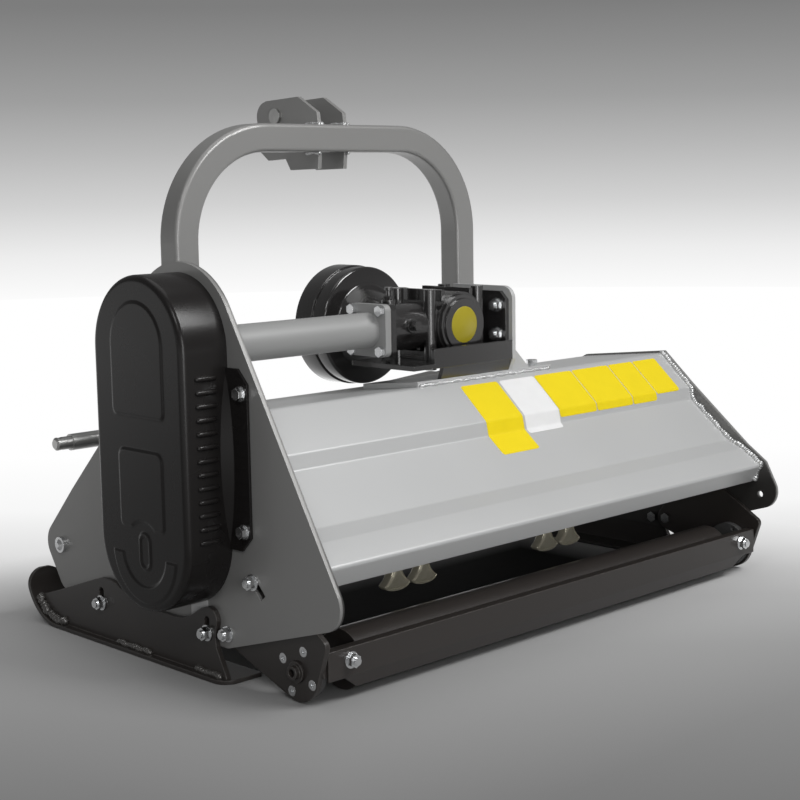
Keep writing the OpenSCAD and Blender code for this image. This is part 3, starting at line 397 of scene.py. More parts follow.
def sprayed_paint(name, colour, rough, metal, coat, edge=0.0012, cloud=0.05, peel=0.12, edge_highlight=None,
                  shine=0.5, painted_shade=None):
    """Sprayed paint with fine flakes, soft clouds and orange peel.

    Painted highlights lighten edges to a colour, and a mask paints shade, where these are given."""
    f = new_finish(name)
    clouds = f.noise(5.0, detail=4.0, roughness=0.6)
    flakes = f.noise(2600.0, detail=1.0)
    base = f.mottled(clouds.swing(2 * cloud) + flakes.swing(0.10) + 0.5, colour, 0.86, 1.14)
    # painted highlight: edges lightened to a colour, broken into patches by noise
    if edge_highlight:
        patchy = (f.noise(75.0, detail=4.0, roughness=0.7) - 0.28).math("MAXIMUM", 0.0) * 2.2
        base = f.blend((edge_highlight_mask(f, edge) * patchy).math("MINIMUM", 1.0), base, rgba(edge_highlight))
    # painted shade: the mask darkens the base towards near black
    if painted_shade:
        base = f.blend(painted_shade(f), base, (0.02, 0.018, 0.016, 1.0))
    f.surface(Base_Color=base, Metallic=metal, Roughness=rough + clouds.swing(0.08),
              Specular_IOR_Level=shine, Coat_Weight=coat, Coat_Roughness=0.12,
              Normal=soft_normal(f, edge, peel, f.noise(420.0)))


def plated_steel(name, colour, rough, streak=0.10, edge=0.0006, stretch=(1, 1, 1), metal=1.0):
    """Plated or machined steel: bright metal with fine tool marks and faint stains."""
    f = new_finish(name)
    marks = f.noise(900.0, detail=3.0, roughness=0.6, stretch=stretch)
    stains = f.noise(60.0, detail=4.0, roughness=0.65)
    f.surface(Base_Color=f.mottled(stains, colour, 0.72, 1.12), Metallic=metal,
              Roughness=rough + marks.swing(2 * streak),
              Normal=soft_normal(f, edge, 0.15, marks, 0.0001))


def rough_casting(name, colour, rough, metal, coat, grain):
    """Sand casting: grains of two sizes in the bump, under paint or bare."""
    f = new_finish(name)
    sand = f.noise(520.0, detail=4.0, roughness=0.6)
    lumps = f.noise(90.0, detail=3.0)
    f.surface(Base_Color=f.mottled(lumps, colour, 0.75, 1.2), Metallic=metal,
              Roughness=rough + sand.swing(0.2), Coat_Weight=coat, Coat_Roughness=0.1,
              Normal=soft_normal(f, 0.0022, grain, sand * 0.6 + lumps, 0.0006))


def moulded_rubber(name, colour, rough, pebble):
    """Moulded rubber: an even colour with a faint pebbled skin."""
    f = new_finish(name)
    skin = f.noise(1500.0, detail=1.0)
    waves = f.noise(9.0, detail=3.0)
    f.surface(Base_Color=f.mottled(waves, colour, 0.85, 1.15), Metallic=0.0,
              Roughness=rough + waves.swing(0.10),
              Normal=soft_normal(f, 0.0010, pebble, skin, 0.0001))


def plain_film(name, colour):
    """Self-adhesive film: clean colour, slight waves where it lies on the sheet."""
    f = new_finish(name)
    waves = f.noise(40.0)
    f.surface(Base_Color=f.mottled(waves, colour, 0.96, 1.03), Roughness=0.32 + waves.swing(0.06),
              Normal=f.bump(0.08, 0.0004, waves))


def weld_metal(name, colour, metal, coat, rough):
    """Painted weld: darker in the ripples, with the gloss of paint that has run together."""
    f = new_finish(name)
    spatter = f.noise(700.0, detail=3.0)
    f.surface(Base_Color=f.mottled(spatter, colour, 0.6, 1.25), Metallic=metal,
              Roughness=rough + spatter.swing(0.2), Coat_Weight=coat, Coat_Roughness=0.08,
              Normal=f.bump(0.8, 0.0007, spatter))


# ---- what a user would change ----

def colour_prop(name, description, default):
    return FloatVectorProperty(name=name, description=description, default=default, size=3,
                               subtype="COLOR", min=0.0, max=1.0)


def size_prop(name, description, default):
    return FloatProperty(name=name, description=description, default=default, min=0.0,
                         subtype="DISTANCE", unit="LENGTH", precision=4)


class MowerColours(bpy.types.PropertyGroup):
    """Colours of the mower's finishes."""
    sheet: colour_prop("Hood paint", "Grey of the hood and stand", (0.56, 0.565, 0.565))
    # painted shade in part: the frame seems to carry the hood's paint, darkened here for faces turned
    # from the light
    plate: colour_prop("Frame paint", "Grey of side plates, mast and hitch", (0.30, 0.298, 0.293))
    # painted shade in part: the axle tube seems to carry the hood's paint, darkened here for faces
    # turned from the light
    tube: colour_prop("Axle paint", "Grey of the cross tube", (0.31, 0.312, 0.31))
    black: colour_prop("Gloss black", "Enamel of the gearbox and its cradle", (0.019, 0.018, 0.018))
    cover: colour_prop("Cover black", "Black paint of the belt cover", (0.012, 0.0108, 0.0105))
    dark: colour_prop("Dark paint", "Paint of the skids, roller and arms", (0.028, 0.024, 0.022))
    zinc: colour_prop("Zinc", "Bright plating of the bolts", (0.86, 0.87, 0.88))
    steel: colour_prop("Steel", "Steel of the pins and shafts", (0.55, 0.55, 0.54))
    gold: colour_prop("Hammer plating", "Yellow plating of the hammers", (0.86, 0.81, 0.64))
    yellow: colour_prop("Yellow film", "Colour of the yellow panels", (0.82, 0.64, 0.004))
    disc: colour_prop("Disc yellow", "Colour of the gearbox cap's disc", (0.36, 0.30, 0.018))
    white: colour_prop("White film", "Colour of the white panel and the tag", (0.78, 0.78, 0.78))


class MowerSizes(bpy.types.PropertyGroup):
    """Sizes of the mower's small forms."""
    relief: size_prop("Cover relief", "Rise of the cover's pressed panels", 0.0018)
    cover_edge: size_prop("Cover edge", "Radius of the belt cover's front edge", 0.009)
    louvre: size_prop("Louvre rise", "Rise of a louvre above the cover's side", 0.0045)
    guard_edge: size_prop("Guard edge", "Radius of the PTO guard's steps", 0.005)
    bead: size_prop("Weld bead", "Radius of a weld bead", 0.0046)
    film: size_prop("Film", "Thickness of the panels of film", 0.0004)


def in_mm(name):
    """One of the sizes, in millimetres."""
    return getattr(bpy.context.scene.mower_sizes, name) / MM


# nodes of each finish
NODE_FINISH = {
    "housing_paint": ["hood", "gearbox_stand"],
    "tube_paint": ["axle_tube"],
    "side_paint": ["side_plate_left", "side_plate_right"],
    "plate_paint": ["mast_tube", "hitch_arm_left", "hitch_arm_right", "top_plate_left",
                    "top_plate_right"],
    "gloss_black": ["gearbox_cradle", "pto_shield", "gearbox_cap"],
    "cast_black": ["gearbox_case", "gearbox_plugs"],
    "cover_black": ["belt_cover"],
    "dark_paint": ["skid_left", "skid_right", "arm_left", "arm_right", "scraper_bar", "roller",
                   "rotor_drum", "rotor_lugs", "rotor_ends"],
    "zinc": ["cradle_bolts", "cover_bolts", "frame_bolts", "arm_bolts", "hub_screws", "axle_bolts",
             "front_rod"],
    "bare_steel": ["hitch_pins", "top_pin", "pto_shaft", "cross_shaft"],
    "cast_iron": ["crown_wheel", "pinion", "upper_pulley", "lower_pulley", "rotor_bearings",
                  "roller_hubs"],
    "belt_rubber": ["belts"],
    "gold_zinc": ["hammer_bolts"] + [f"hammer_{i:02d}" for i in range(1, 17)],
}

# colours of the painted edge highlights and of small things
FRAME_EDGE_HIGHLIGHT = (0.50, 0.50, 0.49)
DARK_EDGE_HIGHLIGHT = (0.15, 0.14, 0.13)
IRON = (0.10, 0.10, 0.10)
RUBBER = (0.015, 0.015, 0.015)
SKID_WELD = (0.10, 0.095, 0.09)


class MOWER_OT_finishes(bpy.types.Operator):
    """Makes the finishes and gives every solid its own"""
    bl_idname = "mower.finishes"
    bl_label = "Finishes"

    def execute(self, context):
        c = context.scene.mower_colours
        FINISHES.clear()
        sprayed_paint("housing_paint", c.sheet, rough=0.42, metal=0.35, coat=0.10)
        # frame paint: a darker copy of the hood's grey as partly painted shade, with painted edge
        # highlights
        frame_paint = dict(colour=c.plate, rough=0.42, metal=0.40, coat=0.08, edge_highlight=FRAME_EDGE_HIGHLIGHT)
        sprayed_paint("plate_paint", **frame_paint)
        # side plates: painted shade inside the rotor chamber, darkest low down
        sprayed_paint("side_paint", painted_shade=rotor_chamber_shade, **frame_paint)
        sprayed_paint("gloss_black", c.black, rough=0.12, metal=0.0, coat=1.0, edge=0.0024,
                      cloud=0.06, peel=0.10)
        rough_casting("cast_black", c.black, rough=0.20, metal=0.0, coat=0.9, grain=0.85)
        sprayed_paint("cover_black", c.cover, rough=0.27, metal=0.0, coat=0.06, peel=0.06,
                      shine=0.28)
        # dark paint with a painted highlight on its edges
        sprayed_paint("dark_paint", c.dark, rough=0.34, metal=0.0, coat=0.22, edge=0.0024,
                      cloud=0.08, peel=0.18, edge_highlight=DARK_EDGE_HIGHLIGHT)
        plated_steel("zinc", c.zinc, rough=0.20)
        plated_steel("bare_steel", c.steel, rough=0.34, streak=0.12, edge=0.0008,
                     stretch=(12, 1, 1))
        rough_casting("cast_iron", IRON, rough=0.5, metal=0.4, coat=0.0, grain=0.4)
        moulded_rubber("belt_rubber", RUBBER, rough=0.7, pebble=0.5)
        plated_steel("gold_zinc", c.gold, rough=0.24, streak=0.08, edge=0.0012, metal=0.45)
        plain_film("yellow_film", c.yellow)
        plain_film("white_film", c.white)
        weld_metal("grey_weld", c.sheet, metal=0.60, coat=0.2, rough=0.24)
        weld_metal("dark_weld", SKID_WELD, metal=0.35, coat=1.0, rough=0.14)
        # axle tube: a darker copy of the hood's grey, partly painted shade
        sprayed_paint("tube_paint", c.tube, rough=0.48, metal=0.18, coat=0.05)
        plain_film("disc_film", c.disc)
        for name, nodes in NODE_FINISH.items():
            for node in nodes:
                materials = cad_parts[node].data.materials
                materials.clear()
                materials.append(finish(name))
        return {"FINISHED"}


# ---- hood ----

def hood_profile():
    """Outer line of the hood with its folds rounded."""
    return rounded(HOOD_LINE, HOOD_FOLDS)


def on_hood(y):
    """Height of the hood's outer line at y, on the stretch from its front edge to its rear fold."""
    line = HOOD_LINE[:9][::-1]
    return float(np.interp(y, line[:, 0], line[:, 1]))


class MOWER_OT_hood(bpy.types.Operator):
    """Bends the hood from one sheet with rounded folds"""
    bl_idname = "mower.hood"
    bl_label = "Hood"

    def execute(self, context):
        outer = hood_profile()
        inner = outer + across(outer) * HOOD_SHEET
        hood = make_piece("hood_sheet", [swept_sheet(outer, inner, HALF_IN)],
                          "housing", "housing_paint", 30)
        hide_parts("hood")
        return {"FINISHED"}


# ---- belt cover: radius of its ends, their heights, its face and its wall ----

COVER_R = 107.0
COVER_LOW = 210.0
COVER_TOP = 478.0
COVER_FACE = -613.0
COVER_WALL = 3.0

# pressed forms of its face: two panels by their corners and the radii at bottom and top, a circle
# that cuts the square one and carries the crescent, an oval boss, and the width of their slopes
ARCH = (-62, 385.5), (60, 547.5), (9, 61)
SQUARE = (-55, 225), (50, 337), (7, 13)
CIRCLE_Y, CIRCLE_Z, CIRCLE_R = -4, 192, 43
CRESCENT_R, CRESCENT_HALF, CRESCENT_TOP = 64, 12, 184
OVAL_Y, OVAL_LOW, OVAL_TOP, OVAL_R, OVAL_WALL = -6, 178, 205, 14, 5
RELIEF_SLOPE = 3.2

# louvres: how many, the lowest one's z, their pitch, middle in x, half length and half height
LOUVRES = 13
LOUVRE_LOW = 214.5
LOUVRE_PITCH = 19.1
LOUVRE_X = -571.5
LOUVRE_HALF = 18.5
LOUVRE_HIGH = 4.4

# fixing strips: widths at the rear and front, heights of the ends, cut corners, thickness and rib
STRIP_WIDTHS = {-1: 46.0, 1: 34.0}
STRIP_LOW = 199.0
STRIP_TOP = 456.0
STRIP_CUT = 20.0
STRIP_THICK = 4.0
RIB_BASE = 3.0
RIB_INSET = 6.0
RIB_RISE = 14.0
RIB_WIDE = 15.0


def cover_relief(y, z):
    """Height from 0 to 1 of what is pressed out of the cover's face.

    An arched panel above, a square panel below it that is cut round by the boss, an upright oval
    boss with a hollow middle, and a crescent under it; each edge rises over a few millimetres."""
    arch = rounded_box_distance(y, z, *ARCH)
    around = np.hypot(y - CIRCLE_Y, z - CIRCLE_Z)
    panel = np.maximum(rounded_box_distance(y, z, *SQUARE), CIRCLE_R - around)
    oval = np.hypot(y - OVAL_Y, z - np.clip(z, OVAL_LOW, OVAL_TOP)) - OVAL_R
    boss = np.maximum(oval, -(oval + OVAL_WALL))
    crescent = np.maximum(np.abs(around - CRESCENT_R) - CRESCENT_HALF, z - CRESCENT_TOP)
    nearest = np.minimum(np.minimum(arch, panel), np.minimum(boss, crescent))
    return smooth_step(0.5 - nearest / RELIEF_SLOPE)


class MOWER_OT_cover(bpy.types.Operator):
    """Presses the belt cover with its panels, louvres and fixing strips"""
    bl_idname = "mower.cover"
    bl_label = "Belt cover"

    def shell(self):
        """Long round-ended bowl: its outline shrinks by a depth d while x follows wall and face.

        A point is the outline's point moved inwards by d along the outline's normal; on the face,
        x is moved out by the relief."""
        relief, edge = in_mm("relief"), in_mm("cover_edge")
        bend = np.linspace(0, QUARTER, 9)[1:]
        half, straight = 120, 150
        a = np.linspace(-math.pi, 0, half)
        low = np.stack([np.cos(a), np.sin(a)], -1)
        climb = np.linspace(0, 1, straight)[1:-1]
        front = np.tile([1.0, 0.0], (len(climb), 1))
        normal = np.concatenate([low, front, -low, -front])
        rise = COVER_TOP - COVER_LOW
        heart = np.concatenate([np.full(half, COVER_LOW), COVER_LOW + climb * rise,
                                np.full(half, COVER_TOP), COVER_TOP - climb * rise])
        spokes = np.linspace(edge, COVER_R, 66)[1:]
        back, sheet = COVER_FACE + COVER_WALL + relief, COVER_FACE + relief
        wall = np.array([COVER_R, COVER_WALL, COVER_WALL, 0, 0])
        d = np.concatenate([wall, edge * (1 - np.sin(QUARTER - bend)), spokes])
        x = np.concatenate([[back, back, -HALF_OUT, -HALF_OUT, sheet + edge],
                            sheet + edge * (1 - np.sin(bend)), np.full(len(spokes), sheet)])
        y = normal[None, :, 0] * (COVER_R - d[:, None])
        z = heart + normal[None, :, 1] * (COVER_R - d[:, None])
        on_face = np.arange(len(d)) >= len(wall) + len(bend) - 1
        out = np.where(on_face[:, None], cover_relief(y, z), 0) * relief
        points = np.stack([x[:, None] - out, y, z], -1)
        return points, grid_quads(len(d), len(normal), ring=True)

    def louvres(self):
        """Row of scoops: half-sunk lumps whose section is a flattened oval.

        x, y and z are cosines and sines of two angles raised to a power below one, so the lumps
        are squarish."""
        u = np.linspace(0, TURN, 24, endpoint=False)[:, None]
        v = np.linspace(-QUARTER, QUARTER, 13)[None, :]
        section = blunt(np.cos(v), 0.6)
        lump = np.stack([LOUVRE_X + LOUVRE_HALF * blunt(np.sin(v), 0.55) * np.ones_like(u),
                         -COVER_R + in_mm("louvre") * section * np.sin(u),
                         LOUVRE_HIGH * section * np.cos(u)], -1)
        z = LOUVRE_LOW + LOUVRE_PITCH * np.arange(LOUVRES)
        points = lump[None] + np.stack([0 * z, 0 * z, z], -1)[:, None, None, :]
        quads = grid_quads(u.size, v.size, loop=True)
        return [(p, quads) for p in points]

    def strip(self, side):
        """Fixing strip: a flat flange with cut corners, and a lens-shaped rib leaning on the cover.

        The rib's width and rise follow the sine of the way along it."""
        tall = STRIP_TOP - STRIP_LOW
        z = STRIP_LOW + np.array([0, 0.08, 0.92, 1]) * tall
        wide = STRIP_WIDTHS[side] - STRIP_CUT * np.array([1, 0, 0, 1])
        ring = np.array([[0, 0], [0, 1], [1, 1], [1, 0]], float)
        flange = np.empty((4, 4, 3))
        flange[..., 0] = -HALF_OUT - STRIP_THICK * ring[None, :, 1]
        flange[..., 1] = side * (COVER_R + wide[:, None] * ring[None, :, 0])
        flange[..., 2] = z[:, None]
        ends = np.array([[0, 1, 2, 3], [12, 13, 14, 15]])
        t = np.linspace(0, 1, 60)
        lens = np.sin(math.pi * t) ** 0.7
        flat = 0 * lens
        rib = np.empty((len(t), 3, 3))
        rib[:, :, 0] = -HALF_OUT - RIB_BASE - np.stack([flat, RIB_RISE * lens, flat], -1)
        rib[:, :, 1] = side * (COVER_R + np.stack([RIB_WIDE * lens, flat - 0.5, flat - 0.5], -1))
        rib[:, :, 2] = (STRIP_LOW + RIB_INSET + t * (tall - 2 * RIB_INSET))[:, None]
        return [(flange, np.concatenate([grid_quads(4, 4, ring=True), ends])),
                (rib, grid_quads(len(t), 3, ring=True))]

    def execute(self, context):
        black = "housing", "cover_black"
        cover = make_piece("belt_cover_shell", [self.shell()], *black, 50)
        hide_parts("belt_cover")
        make_piece("belt_cover_louvres", self.louvres(), *black, 60)
        make_piece("belt_cover_strips", self.strip(-1) + self.strip(1), *black, 40)
        return {"FINISHED"}


# ---- PTO guard: wall, drop below the shaft, bore, and its bell from back to front ----

GUARD_WALL = 3.0
GUARD_DROP = 14.0
GUARD_BORE = 50.3
GUARD_BACK = 98.0
BELL_LONG = 79.0
BELL_R = 53.5
BELL_FLARE = 19.5
# its rim outside and inside: radius, y
RIM_OUTER = np.array([[102.5, 178.5], [102.5, 206.5], [100.8, 207.2], [100.8, 209.4],
                      [104.6, 210.2], [105, 250]])
RIM_INNER = np.array([[99.5, 182], [99.5, 211], [101.6, 214], [102, 250]])


class MOWER_OT_guard(bpy.types.Operator):
    """Moulds the stepped bowl that guards the PTO shaft"""
    bl_idname = "mower.guard"
    bl_label = "PTO guard"

    def execute(self, context):
        way = np.linspace(0, 1, 14)
        bell = np.stack([BELL_R + BELL_FLARE * way ** 2.0, GUARD_BACK + BELL_LONG * way], -1)
        outer = np.concatenate([[[GUARD_BORE, GUARD_BACK]], bell, RIM_OUTER])
        inside = np.concatenate([bell[2:] + (-GUARD_WALL * 0.9, GUARD_WALL * 0.5), RIM_INNER])
        flat = np.array([[GUARD_BORE, GUARD_BACK + GUARD_WALL]])
        line = np.concatenate([outer, inside[::-1], flat])
        step, inner_step = len(bell), len(line) - len(inside) + 2
        radii = np.full(len(line), 0.6)
        radii[[step, step + 1, inner_step, inner_step + 1]] = in_mm("guard_edge")
        bowl = turned(rounded(line, radii, closed=True), SHAFT_Z - GUARD_DROP, 96)
        bowl = make_piece("pto_guard_bowl", [bowl], "housing", "gloss_black", 40)
        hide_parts("pto_shield")
        return {"FINISHED"}


# ---- hammers: how many, their pitch, the radius of their bolts' circle, and in degrees the rows'
# directions from straight down and how far from its row a hammer can hang ----

HAMMER_COUNT = 16
HAMMER_PITCH = 62.0
PIVOT_R = 88.0
ROW_DIRECTIONS = [28, 28 - 120, 28 + 120]
FOLD = 105.0

# a hammer: heights of its top, corners and tip from its bolt, half width at the neck and what
# the corners add to it, and its groove
HAMMER_Z = (15.0, -56.0, -67.0)
HAMMER_NECK = 10.6
HAMMER_SPREAD = 19.1
GROOVE_DEEP = 2.4


def hammer_surface():
    """Bell-shaped casting that hangs from its eye at the origin, as sections along its length.

    A section is a squarish oval of half width w and half thickness h. The eye is a circle about
    the bolt and the neck is narrow. The sides flare with a power of the way down to two corners,
    and below them the width closes on a quarter oval, which bows the edge. A groove runs inside
    the rim of each face, by the distance to the outline."""
    top, corner, tip = HAMMER_Z
    bow = np.sin(np.linspace(0, QUARTER, 22))[1:]
    z = np.concatenate([np.linspace(top, corner, 56), corner + (tip - corner) * bow])[:, None]
    flare = np.clip((-z - 14) / (-corner - 14), 0, 1)
    below = np.clip(corner - z, 0, None) / (corner - tip)
    close = np.sqrt(np.clip(1 - below ** 2, 0, 1))
    w = (HAMMER_NECK + HAMMER_SPREAD * flare ** 3.4) * close
    eye = np.sqrt(np.clip(top ** 2 - z ** 2, 0, None))
    bell = smooth_step((-z - 10) / 16)
    blade = 7.4 + 2.4 * flare - 3.0 * (1 - close) ** 2
    h = np.maximum(eye, 6.5 * (z < 0)) * (1 - bell) + bell * blade
    ends = np.sqrt(np.clip((top - z) / 1.6, 0, 1))
    a = np.linspace(0, TURN, 96, endpoint=False)[None, :]
    px, py = blunt(np.cos(a), 0.30), blunt(np.sin(a), 0.45)
    inside = np.minimum((1 - np.abs(px)) * w, z - tip)
    groove = smooth_step((inside - 2.6) / 1.2) - 0.6 * smooth_step((inside - 5.6) / 1.2)
    x = ends * w * px
    y = ends * (h - GROOVE_DEEP * groove * bell * np.abs(py) ** 3) * py
    return np.stack([x, y, z + 0 * a], -1), grid_quads(len(z), a.size, ring=True)


class MOWER_OT_hammers(bpy.types.Operator):
    """Casts the sixteen hammers that swing on the rotor"""
    bl_idname = "mower.hammers"
    bl_label = "Hammers"

    def execute(self, context):
        points, quads = hammer_surface()
        for i in range(HAMMER_COUNT):
            row = ROW_DIRECTIONS[((i + 1) // 2) % 3]
            turn = math.radians(row - math.copysign(min(abs(row), FOLD), row))
            c, s = math.cos(turn), math.sin(turn)
            spin = np.array([[1, 0, 0], [0, c, s], [0, -s, c]])
            eye = np.array([(i - (HAMMER_COUNT - 1) / 2) * HAMMER_PITCH,
                            -PIVOT_R * math.sin(math.radians(row)),
                            ROTOR_Z - PIVOT_R * math.cos(math.radians(row))])
            name = f"{i + 1:02d}"
            piece = make_piece(f"hammer_casting_{name}", [(points @ spin.T + eye, quads)],
                               f"swing_{name}", "gold_zinc", 50)
            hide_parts(f"hammer_{name}")
        return {"FINISHED"}


# ---- panels of film: the gap under them, and the heights on the hood where they end, as y, z ----

FILM_GAP = 0.02
PANEL_TOP = (-77.5, 376)
PANEL_LOW = {"fold": (-138, 310), "long": (-173, 274), "white": (-147, 295), "last": (-136, 321)}
# the yellow ones from left to right: left and right edge, lower end
YELLOW_PANELS = ((-35, 53, "long"), (147, 245, "fold"), (247, 347, "fold"), (349, 418, "fold"),
                 (420, 488, "last"))
WHITE_PANEL = (58, 145, "white")
# the left plate's tag: corners, share of the film's thickness
TAG_CORNERS = (-45, 78), (-4, 112.5)
TAG_THIN = 0.6
# disc on the gearbox cap: radius, y
CAP_DISC = np.array([[0, -56.5], [29.5, -56.5], [30, -56.2], [30, -55.9], [0, -55.9]], float)


def hood_patch(x0, x1, end, lift, corner=5.0):
    """Film on the hood: a stretch of its outer line, lifted along its normal and drawn along x.

    Its ends are the lengths along the line nearest to the points given. Near the sides the length
    is cut at both ends by the sagitta of a circle, which rounds the four corners."""
    line, s = walk(hood_profile(), 1.0)
    out = -across(line)
    low, high = sorted(s[np.argmin(np.hypot(*(line - np.array(p)).T))]
                       for p in (PANEL_TOP, PANEL_LOW[end]))
    turn = corner * (1 - np.cos(np.linspace(0, QUARTER, 7)))
    x = np.concatenate([x0 + turn, x1 - turn[::-1]])
    side = np.clip(corner - np.minimum(x - x0, x1 - x), 0, corner)
    cut = corner - np.sqrt(corner ** 2 - side ** 2)
    t = np.linspace(0, 1, 70)[None, :]
    way = (low + cut)[:, None] * (1 - t) + (high - cut)[:, None] * t
    at, normal = (np.stack([np.interp(way, s, column) for column in v.T], -1) for v in (line, out))
    across_x = np.broadcast_to(x[:, None, None], way.shape + (1,))
    top = np.concatenate([across_x, at + normal * lift], -1)
    under = np.concatenate([across_x, at + normal * FILM_GAP], -1)
    rows, cols = way.shape
    sheet = grid_quads(rows, cols)
    i, j = np.arange(rows), np.arange(cols)
    rim = np.concatenate([i * cols, (rows - 1) * cols + j[1:], (i[::-1] * cols + cols - 1)[1:],
                          j[::-1][1:-1]])
    after, below = np.roll(rim, -1), rows * cols
    wall = np.stack([rim, after, after + below, rim + below], -1)
    return np.concatenate([top, under]), np.concatenate([sheet, sheet[:, ::-1] + below, wall])


def plate_patch(low, high, lift, corner=3.0):
    """Film on the outside of the left plate: a round-cornered rectangle in y and z.

    Its face and its back are the rounded outline scaled to its middle, and its rim is the outline
    at both heights."""
    (y0, z0), (y1, z1) = low, high
    box = np.array([[y0, z0], [y1, z0], [y1, z1], [y0, z1]], float)
    ring = rounded(box, np.full(4, corner), 6, True)
    heart = ring.mean(0)
    scale = np.array([0.0, 1.0, 1.0, 0.0])[:, None, None]
    x = -HALF_OUT - np.array([lift, lift, FILM_GAP, FILM_GAP])
    points = np.empty((4, len(ring), 3))
    points[..., 0] = x[:, None]
    points[..., 1:] = heart + (ring - heart) * scale
    return points, grid_quads(4, len(ring), ring=True)


class MOWER_OT_panels(bpy.types.Operator):
    """Lays the blank film on the hood and the left plate, and the disc on the gearbox cap"""
    bl_idname = "mower.panels"
    bl_label = "Blank panels"

    def execute(self, context):
        lift = in_mm("film")
        for name, parts, look, crease in (
                ("yellow_panels", [hood_patch(*p, lift) for p in YELLOW_PANELS], "yellow_film", 30),
                ("plate_tag", [plate_patch(*TAG_CORNERS, lift * TAG_THIN)], "white_film", 30),
                ("white_panel", [hood_patch(*WHITE_PANEL, lift)], "white_film", 30),
                ("cap_disc", [turned(CAP_DISC, SHAFT_Z, 64)], "disc_film", 40)):
            make_piece(name, parts, "housing", None, crease, look)
        return {"FINISHED"}


# ---- welds: the stand's foot by its left, right, rear and front edges ----

FOOT_X = (-118.0, 204.0)
FOOT_Y = (-66.0, 62.0)
# hitch arms' ends along the hood, and how far their sides stand out from the mast tube
ARM_Y = (236.0, 312.0)
ARM_SIDE = 8.5
# top plates' joints with the mast by x and z, and their half length
TOP_JOINTS = ((26, MAST_TOP + 0.5), (34, MAST_TOP + 0.5), (34, MAST_TOP - TUBE - 0.5))
TOP_HALF = 20.0
# skids: the weld's x, its runs along y, their height, and the bend of the nose by y, z and radius
SKID_X = 543.0
SKID_RUNS = ((176, 87), (-23, -86))
SKID_RUN_Z = 8.5
SKID_NOSE = (338.0, 87.0)
NOSE_R = 76.5
NOSE_END = (320.0, 10.0)


class MOWER_OT_welds(bpy.types.Operator):
    """Runs the weld beads of the housing, the mast and the skids"""
    bl_idname = "mower.welds"
    bl_label = "Welds"

    def frame_beads(self, r):
        """Beads along the hood's sides, the hitch arms, the top plates and the stand's foot."""
        line = hood_profile()
        edge = line[(line[:, 0] < 100) & (line[:, 0] > -288)]
        beads = [bead([[side * (HALF_IN - 1.5), y, z + 0.5] for y, z in edge], r * 1.25,
                      start=9 * side) for side in (-1, 1)]
        for side in (-1, 1):
            for x in (MAST_X - TUBE / 2 - ARM_SIDE, MAST_X + TUBE / 2 + ARM_SIDE):
                beads.append(bead([[side * x, y, on_hood(y) + 1]
                                   for y in np.linspace(*ARM_Y, 8)], r))
            for x, z in TOP_JOINTS:
                beads.append(bead([[side * x, MAST_Y - TOP_HALF, z],
                                   [side * x, MAST_Y + TOP_HALF, z]], r * 0.9, start=x))
        (left, right), (rear, front) = FOOT_X, FOOT_Y
        low, high = on_hood(rear) + 1, on_hood(front) + 1
        beads.append(bead([[left, rear - 0.5, low], [right, rear - 0.5, low]], r * 0.9))
        beads.append(bead([[right + 2.5, rear + 2, low], [right + 2.5, front - 2, high]], r * 0.9))
        return beads

    def skid_beads(self, r, side):
        """Two runs along a skid's sole and one round its nose."""
        x = side * SKID_X
        beads = [bead([[x, a, SKID_RUN_Z], [x, b, SKID_RUN_Z]], r * 1.15, start=a)
                 for a, b in SKID_RUNS]
        bend = np.radians(np.linspace(-33, -90, 16))
        x = side * (SKID_X + 0.5)
        nose = np.stack([0 * bend + x, SKID_NOSE[0] + NOSE_R * np.cos(bend),
                         SKID_NOSE[1] + NOSE_R * np.sin(bend)], -1)
        beads.append(bead(np.concatenate([nose, [[x, *NOSE_END]]]), r * 1.7, 6.4))
        return beads

    def execute(self, context):
        r = in_mm("bead")
        make_piece("frame_welds", self.frame_beads(r), "housing", "plate_paint", 60, "grey_weld")
        for side, body in ((-1, "skid_shoe_left"), (1, "skid_shoe_right")):
            make_piece(body + "_welds", self.skid_beads(r, side), body, "dark_paint", 60,
                       "dark_weld")
        return {"FINISHED"}


# ---- stage, in metres: the camera's place, its turn, tilt and roll in degrees, and its focal
# length in pixels of an 800 pixel frame ----

CAMERA_AT = (-1.8640, -1.8219, 0.7043)
CAMERA_TURN = (-44.14, 7.86, -0.91)
CAMERA_FOCUS = 1563.5
FRAME_PIXELS = 800.0

# lamps: name, place, aim, size, power in watts
LAMPS = (("key", (0.8, -2.4, 2.9), (0, 0, 0.3), 1.5, 84.0),
         ("top", (-0.3, 0.6, 3.2), (0, 0, 0.3), 2.2, 13.0),
         ("glint", (-2.4, -1.3, 2.3), (0, 0, 0.3), 0.75, 13.0),
         ("fill", (-1.4, -2.6, 0.7), (0, 0, 0.2), 1.2, 21.0))
SOFT_LIGHT = 0.26

# floor: display levels by the way towards the camera, as far as a reach to both sides
FLOOR_REACH = 4.0
FLOOR_TONES = ((-FLOOR_REACH, 1.0), (-1.5, 1.0), (-0.80, 0.97), (-0.38, 0.88), (0.0, 0.68),
               (0.29, 0.59), (0.72, 0.515), (0.90, 0.48), (1.4, 0.48), (2.6, 0.85),
               (FLOOR_REACH, 1.0))
FLOOR_RINGS = (0, 1, 2, 4, 8.0)
FLOOR_DEEP = 0.0005
# half sizes, middle in y and soft edge of the painted shadow under the hood, and of the floor near
# the mower
SHADOW_UNDER_HOOD = (0.44, 0.20, 0.02, 0.14)
NEAR = (0.54, 0.40, 0.05, 0.36)

